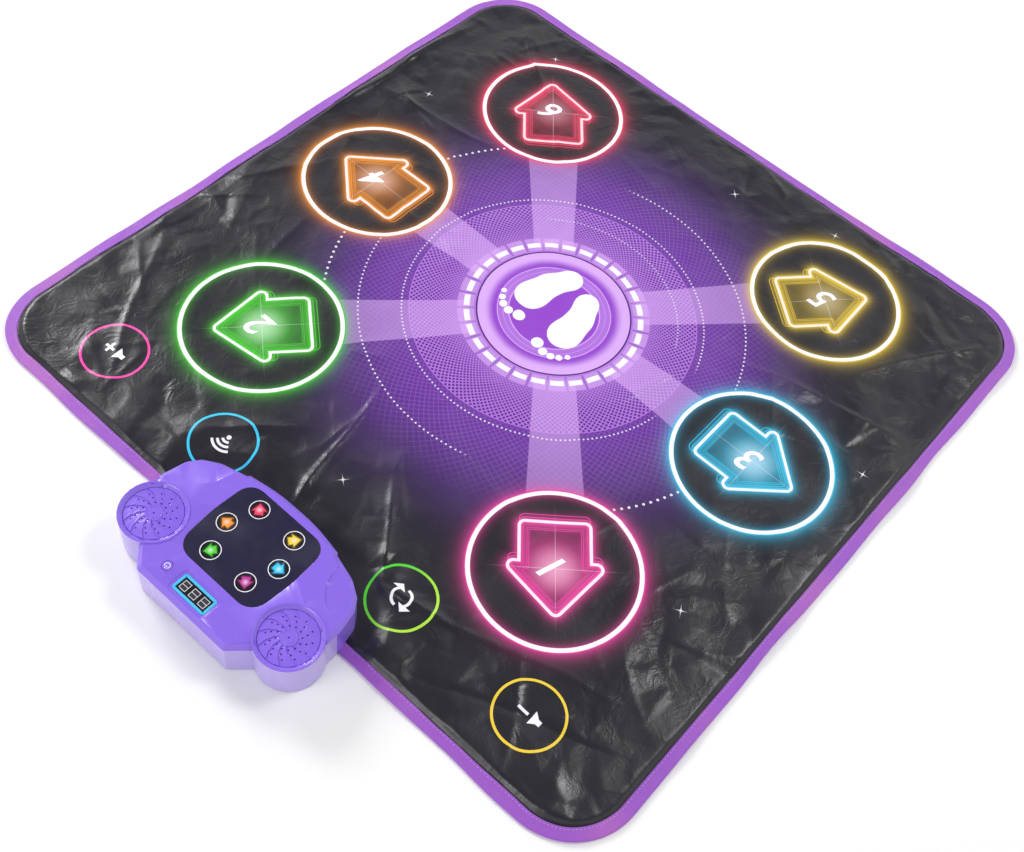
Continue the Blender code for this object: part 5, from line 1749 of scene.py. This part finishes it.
class Binding:
    """The tape sewn round the mat's edge, with its line of stitches."""

    thickness = 0.6 * MILLIMETRE
    ease_over = 0.3 * MILLIMETRE
    step = 4.0 * MILLIMETRE
    round_steps = 8
    bulge = 0.8
    top_shares = (0.35, 0.55, 0.72, 0.82, 0.92)
    inner_drop = 0.25 * MILLIMETRE
    inner_share = 0.6
    fold_share = 1.6
    sharp_fold = math.radians(50)

    free_reach = (0.010, 0.080)
    sway_middle = 0.18
    sway_reach = 5.5 * MILLIMETRE
    sway_hold = 0.6
    widen_reach = 2.0 * MILLIMETRE
    pucker_reach = 0.7 * MILLIMETRE
    least_lift = 0.25 * MILLIMETRE

    stitch_pitch = 4.6 * MILLIMETRE
    stitch_inset = 10.8 * MILLIMETRE
    stitch_share = 0.36
    stitch_half = 0.34 * MILLIMETRE
    stitch_height = 0.24 * MILLIMETRE

    def __init__(self, plan: MatPlan, folds: Folds) -> None:
        """Keeps the sizes and the folds.

        Args:
            plan: The mat's sizes.
            folds: Its folds.
        """
        self.plan = plan
        self.folds = folds
        self.sway = LatticeNoise(0.070, 15)
        self.width_sway = LatticeNoise(0.045, 16)
        self.pucker = LatticeNoise(0.012, 17)

    def length(self) -> float:
        """Adds up the outline's length.

        Returns:
            The length.
        """
        half_x, half_y = self.plan.half
        corner = self.plan.corner
        return 4 * (half_x + half_y) - 8 * corner + 2 * HALF_TURN * corner

    def outline(self, along: np.ndarray) -> tuple[np.ndarray, np.ndarray]:
        """Walks the mat's outline to given distances along it.

        Args:
            along: The distances, from the middle of the -Y side, anticlockwise.

        Returns:
            The points and the outward directions.
        """
        half_x, half_y = self.plan.half
        corner = self.plan.corner
        run_x, run_y = half_x - corner, half_y - corner
        legs = [run_x, 2 * run_y, 2 * run_x, 2 * run_y, run_x]
        arc = QUARTER_TURN * corner
        points, ways = np.zeros((len(along), 2)), np.zeros((len(along), 2))
        spot, heading, done = np.array([0.0, -half_y]), 0.0, 0.0
        for index, leg in enumerate(legs):
            ahead = np.array([math.cos(heading), math.sin(heading)])
            out = np.array([ahead[1], -ahead[0]])
            here = (along >= done) & (along <= done + leg)
            points[here] = spot + ahead * (along[here] - done)[:, None]
            ways[here] = out
            spot, done = spot + ahead * leg, done + leg
            if index == len(legs) - 1:
                break
            centre = spot - out * corner
            here = (along > done) & (along < done + arc)
            angle = heading - QUARTER_TURN + (along[here] - done) / corner
            ways[here] = np.column_stack([np.cos(angle), np.sin(angle)])
            points[here] = centre + ways[here] * corner
            heading, done = heading + QUARTER_TURN, done + arc
            aside = heading - QUARTER_TURN
            spot = centre + np.array([math.cos(aside), math.sin(aside)]) * corner
        return points, ways

    def profile(self) -> list[tuple[float, float]]:
        """Lays out the folded tape's section, once round its thickness.

        Returns:
            The section's corners, each an inset from the outline and a height.
        """
        high = self.plan.rim_top + self.ease_over + self.thickness
        round_radius = high / 2
        outer = [(self.plan.tape, 0.0), (self.plan.tape / 2, 0.0)]
        for i in range(self.round_steps + 1):
            angle = -QUARTER_TURN - HALF_TURN * i / self.round_steps
            inset = round_radius * (1 + self.bulge * math.cos(angle))
            outer.append((inset, round_radius * (1 + math.sin(angle))))
        outer += [(self.plan.tape * share, high) for share in self.top_shares]
        outer += [(self.plan.tape, high - self.inner_drop), (self.plan.tape, high - self.thickness)]
        fold = self.thickness * self.fold_share
        inner = [(self.plan.tape * self.inner_share, high - self.thickness), (fold, high - self.thickness)]
        inner += [(fold, self.thickness), (self.plan.tape, self.thickness)]
        return outer + inner

    def surface(self, along: np.ndarray, inset: np.ndarray, height: np.ndarray) -> np.ndarray:
        """Places points of the tape, with its sway and the mat's lift. Its lower leg stays under the base.

        Args:
            along: Distances along the outline.
            inset: Distances in from it.
            height: Heights over the floor when flat.

        Returns:
            The points, one row each.
        """
        points, ways = self.outline(along)
        x, y = points[:, 0], points[:, 1]
        free = ease(self.plan.from_box(x, y), *self.free_reach)
        share = inset / self.plan.tape
        loose = free * (1 - self.sway_hold * share)
        sway = (self.sway.at(x, y) - self.sway_middle) * self.sway_reach * loose
        widen = (self.width_sway.at(x, y) - 0.5) * self.widen_reach * free * share
        flat = points + ways * (sway - inset - widen)[:, None]
        lift = self.folds.lift(flat[:, 0], flat[:, 1])
        pucker = (self.pucker.at(x, y) - 0.5) * self.pucker_reach * share * free
        top = ease(height, self.thickness, self.thickness * 3)
        follow = self.folds.height(flat[:, 0], flat[:, 1]) - lift
        raised = lift + pucker + np.maximum(follow, 0.0)
        z = height + top * raised + (1.0 - top) * np.minimum(lift, self.least_lift)
        return np.column_stack([flat, z])

    def build(self) -> tuple[bpy.types.Object, bpy.types.Object]:
        """Builds the tape and its stitches.

        Returns:
            The tape and the stitches.
        """
        section = self.profile()
        rounds = len(section)
        length = self.length()
        count = round(length / self.step)
        bm = bmesh.new()
        bmesh.ops.create_grid(bm, x_segments=count, y_segments=rounds, size=0.5)
        spots = np.array([v.co[:] for v in bm.verts])
        i = np.rint((spots[:, 0] + 0.5) * count).astype(int)
        j = np.rint((spots[:, 1] + 0.5) * rounds).astype(int)
        ring = np.array([*section, section[0]])
        along = (i % count) * (length / count)
        placed = self.surface(along, ring[j, 0], ring[j, 1])
        around = np.concatenate([[0.0], np.cumsum(np.hypot(*np.diff(ring, axis=0).T))])
        weave = bm.loops.layers.uv.new("weave")
        for face in bm.faces:
            for loop in face.loops:
                index = loop.vert.index
                loop[weave].uv = (i[index] * length / count, around[j[index]])
        for vertex, spot in zip(bm.verts, placed):
            vertex.co = spot
        bmesh.ops.remove_doubles(bm, verts=bm.verts, dist=SAME_SPOT)
        bmesh.ops.recalc_face_normals(bm, faces=bm.faces)
        tape = mesh_object("binding_tape", bm)
        tape.data.set_sharp_from_angle(angle=self.sharp_fold)
        tape.data.materials.append(Webbing().material("binding_weave"))
        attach(tape, ROOT_BODY)
        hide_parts("edge_binding")
        return tape, self.stitches(max(z for _, z in section))

    def stitches(self, high: float) -> bpy.types.Object:
        """Sews the line of thread along the tape's inner edge.

        Args:
            high: The flat height of the tape's top.

        Returns:
            The stitches, as one piece.
        """
        count = round(self.length() / self.stitch_pitch)
        along = np.arange(count) * (self.length() / count)
        inset = np.full(count, self.stitch_inset)
        spots = self.surface(along, inset, np.full(count, high))
        ahead = self.surface(along + MILLIMETRE, inset, np.full(count, high)) - spots
        bm = bmesh.new()
        half_long = self.stitch_pitch * self.stitch_share
        shape = Matrix.Diagonal((half_long, self.stitch_half, self.stitch_height, 1.0))
        for spot, way in zip(spots, ahead):
            turn = Vector(way).to_track_quat("X", "Z").to_matrix().to_4x4()
            placed = Matrix.Translation(spot) @ turn @ shape
            bmesh.ops.create_icosphere(bm, subdivisions=1, radius=1.0, matrix=placed)
        thread = mesh_object("binding_stitches", bm)
        thread.data.materials.append(Moulding(Ink.THREAD, roughness=0.55).material("thread"))
        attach(thread, ROOT_BODY)
        return thread


class DressedNode:
    """A copy of one of the model's pieces, merged and with its edges rounded."""

    merge = 2 * SAME_SPOT
    flat_fold = math.radians(0.3)

    def __init__(self, node: str, width: float, segments: int = 2, angle: float = 13.0) -> None:
        """Makes the copy.

        Args:
            node: The piece's node.
            width: The rounding's width, in metres, or 0 for crisp edges.
            segments: How many facets the rounding has.
            angle: The sharpest fold that is left alone, in degrees.
        """
        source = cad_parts[node]
        bm = bmesh.new()
        bm.from_mesh(source.data)
        bmesh.ops.remove_doubles(bm, verts=bm.verts, dist=self.merge)
        if width > 0.0:
            bmesh.ops.dissolve_limit(bm, angle_limit=self.flat_fold, verts=bm.verts, edges=bm.edges)
            bmesh.ops.triangulate(bm, faces=[face for face in bm.faces if len(face.verts) > 4])
        self.obj = mesh_object(f"{node}_moulding", bm)
        self.obj.data.set_sharp_from_angle(angle=math.radians(angle))
        self.node = node
        if width <= 0.0:
            return
        rounding = self.obj.modifiers.new("rounding", "BEVEL")
        rounding.width = width
        rounding.segments = segments
        rounding.limit_method = "ANGLE"
        rounding.angle_limit = math.radians(angle)
        rounding.use_clamp_overlap = False
        rounding.harden_normals = True
        rounding.miter_outer = "MITER_ARC"

    def finish(self, finish: Moulding, body: str, slot: str) -> bpy.types.Object:
        """Gives the copy its material and body.

        Args:
            finish: Its finish.
            body: The body that it rides on.
            slot: The record's slot; not used.

        Returns:
            The finished piece.
        """
        self.obj.data.materials.append(finish.material(f"{self.node}_finish"))
        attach(self.obj, body)
        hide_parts(self.node)
        return self.obj


class PanelArt:
    """The marks printed on the control box: six indicators, a power sign and three blank digits."""

    crisp = 0.2 * MILLIMETRE
    ring = 0.0108
    ring_line = 0.45 * MILLIMETRE
    up_shift = 0.0012
    pad_middle = 0.0370
    pad_pitch = 0.2715
    row_pitch = 0.0335
    middle_row_x = 0.0390
    outer_row_x = 0.0260
    arrow_heart = 0.0045

    power_radius = 0.0030
    power_line = 0.4 * MILLIMETRE
    power_opening = 1.5
    power_stroke = 0.0019

    digit_count = 3
    digit_width = 0.31
    digit_height = 0.34
    digit_line = 0.28 * MILLIMETRE

    def indicators(self, tree: bpy.types.NodeTree, place: Place) -> Print:
        """Draws the six ringed arrows on the dark window.

        Args:
            tree: The material's nodes.
            place: The point on the window.

        Returns:
            The finished print.
        """
        ink = Print(tree, Ink.WINDOW)
        low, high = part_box("panel_window")
        middle = (low.y + high.y) / 2 + self.up_shift
        for zone in STEP_ZONES:
            x, y = zone.centre
            side = 1.0 if x > 0.0 else -1.0
            row = round((y - self.pad_middle) / self.pad_pitch)
            rise = row * self.row_pitch
            spot = (side * (self.outer_row_x if row else self.middle_row_x), middle + rise)
            turn = math.atan2(rise, spot[0]) - QUARTER_TURN
            local = place.about(*spot, turn)
            u, v = local.parts()
            edge = self.arrow(u, v)
            r = local.distance()
            ink.lay(Ink.BLACK, r.inside(self.ring), 0.85)
            ink.lay(Ink.WHITE, (r - self.ring).line(self.ring_line, self.crisp))
            shade = Ink.MAGENTA if zone.ink is Ink.PINK else zone.ink
            ink.lay(shade, edge.glow(0.6 * MILLIMETRE), 0.8)
            ink.lay(shade, edge.inside(blur=0.3 * MILLIMETRE))
            ink.lay(Ink.WHITE, edge.inside() * r.between(0.0, self.arrow_heart, 0.5, 0.0))
        return ink

    @staticmethod
    def arrow(u: Field, v: Field) -> Field:
        """Measures from a small broad arrow that points to +Y.

        Args:
            u: The distance across.
            v: The distance along.

        Returns:
            The signed distance, below 0 inside.
        """
        across = u.size()
        head = (across * 0.74 + v * 0.67 - 0.0044).most(v * -1.0 - 0.0009)
        stem = (across - 0.0040).most(v * -1.0 - 0.0058).most(v - 0.0005)
        return head.least(stem)

    def power(self, tree: bpy.types.NodeTree, place: Place) -> Print:
        """Draws a plain power sign on the button.

        Args:
            tree: The material's nodes.
            place: The point on the button.

        Returns:
            The finished print.
        """
        low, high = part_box("power_button")
        local = place.about((low.x + high.x) / 2, (low.y + high.y) / 2, HALF_TURN)
        x, y = local.parts()
        loop = (local.distance() - self.power_radius).size() - self.power_line
        loop = loop.most(y - x.size() * self.power_opening)
        stroke = MatArt.bar(x, y - self.power_stroke, self.power_line, self.power_stroke)
        ink = Print(tree, Ink.SHELL_PURPLE)
        ink.lay(Ink.WHITE, loop.least(stroke).inside(blur=self.crisp), 0.9)
        return ink

    def digits(self, tree: bpy.types.NodeTree, place: Place) -> Print:
        """Draws three unlit seven-segment digits.

        Args:
            tree: The material's nodes.
            place: The point on the display.

        Returns:
            The finished print.
        """
        low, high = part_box("display_module")
        pitch = (high.x - low.x) / self.digit_count
        centre = ((low.x + high.x) / 2, (low.y + high.y) / 2)
        x, y = place.about(*centre).parts()
        across = (x + pitch * (self.digit_count + 1.5)).nearest(pitch) * -1.0 + pitch / 2
        up = y.size()
        wide, tall = pitch * self.digit_width, (high.y - low.y) * self.digit_height
        cell = (across - wide).most(up - tall)
        level = up.least((up - tall).size()).most(across - wide)
        upright = (across - wide).size().most(up - tall)
        ink = Print(tree, Ink.DISPLAY)
        ink.lay(Ink.SEGMENT, cell.inside(blur=self.crisp))
        ink.lay(Ink.WHITE, level.least(upright).inside(self.digit_line, self.crisp), 0.9)
        return ink


class ControlBox:
    """The control box's outside: shells, grilles, window, display and button."""

    purple = Moulding(Ink.SHELL_PURPLE, roughness=0.24, coat=0.3, drift=0.0)
    # The same purple plastic as the upper shell, painted paler for the light that the white floor throws
    # on the lower walls: painted bounce light.
    floor_lit_purple = Moulding(Ink.SHELL_PURPLE_FLOOR_LIT, roughness=0.30, coat=0.15, drift=0.0)

    def build(self) -> None:
        """Builds and finishes every outside piece."""
        art = PanelArt()
        upper = DressedNode("upper_shell", 0.22 * MILLIMETRE, angle=16.0)
        upper.finish(self.purple, ROOT_BODY, "purple_plastic")
        # The lower shell takes the paler purple: painted floor light, not a second plastic.
        lower = DressedNode("lower_shell", 0.35 * MILLIMETRE, angle=16.0)
        lower.finish(self.floor_lit_purple, ROOT_BODY, "lavender_plastic")
        for side in ("left", "right"):
            node = f"speaker_grille_{side}"
            DressedNode(node, 0.0).finish(self.purple, ROOT_BODY, "purple_plastic")
        window = Moulding(Ink.WINDOW, roughness=0.22, coat=0.3, drift=0.02, draw=art.indicators)
        DressedNode("panel_window", 0.15 * MILLIMETRE).finish(window, ROOT_BODY, "smoked_window")
        bezel = Moulding(Ink.BEZEL_CYAN, roughness=0.25, coat=0.3, drift=0.02)
        DressedNode("display_bezel", 0.30 * MILLIMETRE, 3).finish(bezel, ROOT_BODY, "cyan_bezel")
        display = Moulding(Ink.DISPLAY, roughness=0.2, drift=0.02, draw=art.digits)
        DressedNode("display_module", 0.10 * MILLIMETRE).finish(display, ROOT_BODY, "display_black")
        button = Moulding(Ink.SHELL_PURPLE, roughness=0.26, coat=0.25, draw=art.power)
        DressedNode("power_button", 0.15 * MILLIMETRE).finish(button, "power_button", "purple_plastic")
        # The battery door takes the same paler, floor-lit purple: painted light.
        door = DressedNode("battery_door", 0.20 * MILLIMETRE)
        door.finish(self.floor_lit_purple, "battery_door", "lavender_plastic")


class InnerWorks:
    """The pieces inside and under, which keep the model's own shapes."""

    board_wander = 0.0060
    board_tracks = 0.0032
    board_pads = 0.0064
    film_rings = 0.0120
    film_lines = 0.0040
    film_lane = (0.0400, 0.30)
    film_tail = (-0.45, -0.44)
    grip_pitch = 0.0120
    grip_dot = 0.0022
    cell_ends = (0.470, 0.475)
    cone_rings = 0.0020
    cone = 0.0120

    def finishes(self) -> dict[str, Moulding]:
        """The finish of every inner piece, by the start of its node's name.

        Returns:
            The finishes.
        """
        steel = Moulding(Ink.STEEL, roughness=0.28, metal=1.0, drift=0.08)
        board = Moulding(Ink.BOARD_GREEN, roughness=0.4, coat=0.3, draw=self.board)
        film = Moulding(Ink.FILM, roughness=0.3, draw=self.film)
        return {
            "battery_cell": Moulding(Ink.JACKET, roughness=0.3, draw=self.cell),
            "battery_contact": steel,
            "battery_door_screw": steel,
            "clamp_screw": steel,
            "housing_screw": steel,
            "contact_tail": film,
            "lower_contact_film": film,
            "upper_contact_film": film,
            "display_board": board,
            "indicator_board": board,
            "main_board": board,
            "foam_spacer": Moulding(Ink.SPACER, roughness=0.9, grain=0.2 * MILLIMETRE, drift=0.10),
            "non_slip_base": Moulding(Ink.FOAM_BLACK, roughness=0.8, draw=self.base),
            # The clamp plate takes the shell's floor-lit purple: painted light.
            "mat_clamp_plate": Moulding(Ink.SHELL_PURPLE_FLOOR_LIT, roughness=0.35),
            "power_switch": Moulding(Ink.BLACK, roughness=0.35),
            "rubber_foot": Moulding(Ink.FOAM_BLACK, roughness=0.75),
            "speaker_driver": Moulding(Ink.BASKET, roughness=0.5, draw=self.driver),
        }

    def board(self, tree: bpy.types.NodeTree, place: Place) -> Print:
        """Draws copper tracks and pads under green lacquer.

        Args:
            tree: The material's nodes.
            place: The point on the board.

        Returns:
            The finished print.
        """
        x, y = place.parts()
        ink = Print(tree, Ink.BOARD_GREEN)
        wander = place.noise(60.0, detail=1.0) * self.board_wander
        ink.lay(Ink.COPPER, (x + wander).nearest(self.board_tracks).inside(0.25 * MILLIMETRE), 0.35)
        squares = [part.nearest(self.board_pads).math("POWER", 2.0) for part in (x, y)]
        ink.lay(Ink.COPPER, (squares[0] + squares[1]).math("SQRT").inside(0.8 * MILLIMETRE), 0.9)
        return ink

    def film(self, tree: bpy.types.NodeTree, place: Place) -> Print:
        """Draws silver contact rings under every zone and a few lines between them.

        Args:
            tree: The material's nodes.
            place: The point on the film.

        Returns:
            The finished print.
        """
        ink = Print(tree, Ink.FILM)
        for zone in ZONES:
            r = place.about(*zone.centre).distance()
            rings = r.nearest(self.film_rings).inside(1.6 * MILLIMETRE)
            ink.lay(Ink.TRACK, rings * r.inside(zone.radius * 0.94))
        x, y = place.parts()
        half_wide, far_end = self.film_lane
        lines = x.size().nearest(self.film_lines).inside(0.8 * MILLIMETRE)
        lines = lines * x.size().inside(half_wide) * y.inside(far_end)
        ink.lay(Ink.TRACK, lines * y.between(*self.film_tail))
        return ink

    def base(self, tree: bpy.types.NodeTree, place: Place) -> Print:
        """Draws small raised grip dots in staggered rows.

        Args:
            tree: The material's nodes.
            place: The point on the base sheet.

        Returns:
            The finished print.
        """
        x, y = place.parts()
        pitch = self.grip_pitch
        rows = [(x, y), (x + pitch / 2, y + pitch / 2)]
        near = [u.nearest(pitch).math("POWER", 2.0) + v.nearest(pitch).math("POWER", 2.0) for u, v in rows]
        ink = Print(tree, Ink.FOAM_BLACK)
        ink.lay(Ink.SEGMENT, near[0].least(near[1]).math("SQRT").inside(self.grip_dot))
        return ink

    def cell(self, tree: bpy.types.NodeTree, place: Place) -> Print:
        """Draws a plain dark jacket between bright ends.

        Args:
            tree: The material's nodes.
            place: The point on the cell.

        Returns:
            The finished print.
        """
        low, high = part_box("battery_cell_1")
        x, _ = place.parts()
        span = max(high.x - low.x, high.y - low.y)
        along = x.math("WRAP", span / 2, -span / 2).size()
        ink = Print(tree, Ink.JACKET)
        ink.lay(Ink.STEEL, along.between(*(span * share for share in self.cell_ends)))
        return ink

    def driver(self, tree: bpy.types.NodeTree, place: Place) -> Print:
        """Draws a dark paper cone with fine rings.

        Args:
            tree: The material's nodes.
            place: The point on the driver.

        Returns:
            The finished print.
        """
        ink = Print(tree, Ink.BASKET)
        for node in ("speaker_driver_left", "speaker_driver_right"):
            low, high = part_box(node)
            r = place.about((low.x + high.x) / 2, (low.y + high.y) / 2).distance()
            rings = r.nearest(self.cone_rings).inside(0.4 * MILLIMETRE)
            ink.lay(Ink.BLACK, rings * r.inside(self.cone), 0.7)
        return ink

    def build(self) -> None:
        """Gives every inner piece its material."""
        finishes = self.finishes()
        made: dict[str, bpy.types.Material] = {}
        for node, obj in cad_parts.items():
            starts = [start for start in finishes if node.startswith(start)]
            if not starts:
                continue
            start = max(starts, key=len)
            if start not in made:
                made[start] = finishes[start].material(f"{start}_finish")
            obj.data.materials.clear()
            obj.data.materials.append(made[start])


@dataclass(frozen=True)
class Lamp:
    """A soft square lamp that looks at the mat: where it stands, its side and its power in watts."""

    name: str
    place: tuple[float, float, float]
    size: float
    power: float

    def build(self) -> None:
        """Adds the lamp to the scene."""
        data = bpy.data.lights.new(self.name, "AREA")
        data.size = self.size
        data.energy = self.power
        lamp = bpy.data.objects.new(self.name, data)
        lamp.location = self.place
        lamp.rotation_euler = (-Vector(self.place)).to_track_quat("-Z", "Y").to_euler()
        bpy.context.scene.collection.objects.link(lamp)


class Studio:
    """The floor, the lamps and the camera."""

    lamps = (
        Lamp("key", (-2.8, 0.2, 1.8), size=1.0, power=54.0),
        Lamp("side", (0.85, 1.1, 2.2), size=0.7, power=20.0),
        Lamp("front", (-0.7, -2.8, 2.4), size=1.6, power=34.0),
    )
    eye = (0.52506, -0.84808, 1.25183)
    aim = (0.07269, -0.12441, 0.0)
    roll = math.radians(11.167)
    lens = 45.576
    sensor = 36.0
    horizon = 0.95
    overhead = 0.16
    ceiling = (0.50, 0.80)
    floor_half = 12.0
    floor_tone = (0.96, 0.96, 0.96, 1.0)
    floor_fade = (0.95, 2.1)

    def camera(self) -> None:
        """Makes the camera at the photograph's viewing angle."""
        data = bpy.data.cameras.new("camera")
        data.lens = self.lens
        data.sensor_width = self.sensor
        camera = bpy.data.objects.new("camera", data)
        bpy.context.scene.collection.objects.link(camera)
        ahead = Vector(self.aim) - Vector(self.eye)
        level = ahead.to_track_quat("-Z", "Y").to_matrix().to_4x4()
        camera.matrix_world = Matrix.Translation(self.eye) @ level @ Matrix.Rotation(self.roll, 4, "Z")
        bpy.context.scene.camera = camera

    def floor(self) -> None:
        """Lays a plain pale floor that fades into the white room."""
        bm = bmesh.new()
        bmesh.ops.create_grid(bm, x_segments=1, y_segments=1, size=self.floor_half)
        floor = mesh_object("floor", bm, smooth=False)
        material, tree, shader = new_material("floor")
        reach = Place.on(tree).distance()
        tree.links.new(reach.between(*self.floor_fade, 1.0, 0.0).socket, shader.inputs["Alpha"])
        shader.inputs["Base Color"].default_value = self.floor_tone
        shader.inputs["Roughness"].default_value = 0.9
        shader.inputs["Specular IOR Level"].default_value = 0.1
        floor.data.materials.append(material)
        floor.location.z = -0.2 * MILLIMETRE

    def world(self) -> None:
        """Puts white all round under a dim ceiling, which the camera and glass still see as white."""
        world = bpy.data.worlds.new("studio")
        world.use_nodes = True
        tree = world.node_tree
        sky = tree.nodes["Background"]
        sky.inputs["Color"].default_value = (1.0, 1.0, 1.0, 1.0)
        source = tree.nodes.new("ShaderNodeTexCoord")
        parts = tree.nodes.new("ShaderNodeSeparateXYZ")
        tree.links.new(source.outputs["Generated"], parts.inputs[0])
        up = Field(tree, parts.outputs[2])
        path = tree.nodes.new("ShaderNodeLightPath")
        kinds = ("Is Camera Ray", "Is Transmission Ray", "Is Glossy Ray")
        camera, glass, gloss = (Field(tree, path.outputs[kind]) for kind in kinds)
        light = up.between(*self.ceiling, self.horizon, self.overhead)
        backdrop = up.between(*self.ceiling, 1.0, 0.0)
        strength = light.most(camera).most(glass).most(gloss * backdrop)
        tree.links.new(strength.socket, sky.inputs["Strength"])
        bpy.context.scene.world = world

    def build(self) -> None:
        """Sets up the whole studio."""
        self.camera()
        self.floor()
        self.world()
        for lamp in self.lamps:
            lamp.build()
        bpy.context.scene.view_settings.view_transform = "Standard"


def main() -> None:
    """Builds the whole object and its studio, in order."""
    plan = MatPlan()
    folds = Folds(plan)
    cover = PrintedCover(plan, folds)
    made = cover.build()
    cover.dress(made)
    log.info("printed cover and %d press zones", len(made) - 1)
    Numerals(plan, folds).build()
    log.info("printed numerals")
    tape, thread = Binding(plan, folds).build()
    log.info("binding and stitches")
    half_x, half_y = plan.half
    cut = 4 * half_x * half_y - sum(HALF_TURN * zone.radius**2 for zone in ZONES)
    ControlBox().build()
    log.info("control box")
    InnerWorks().build()
    log.info("inner pieces")
    Studio().build()
    log.info("studio")


if __name__ == "__main__":
    main()
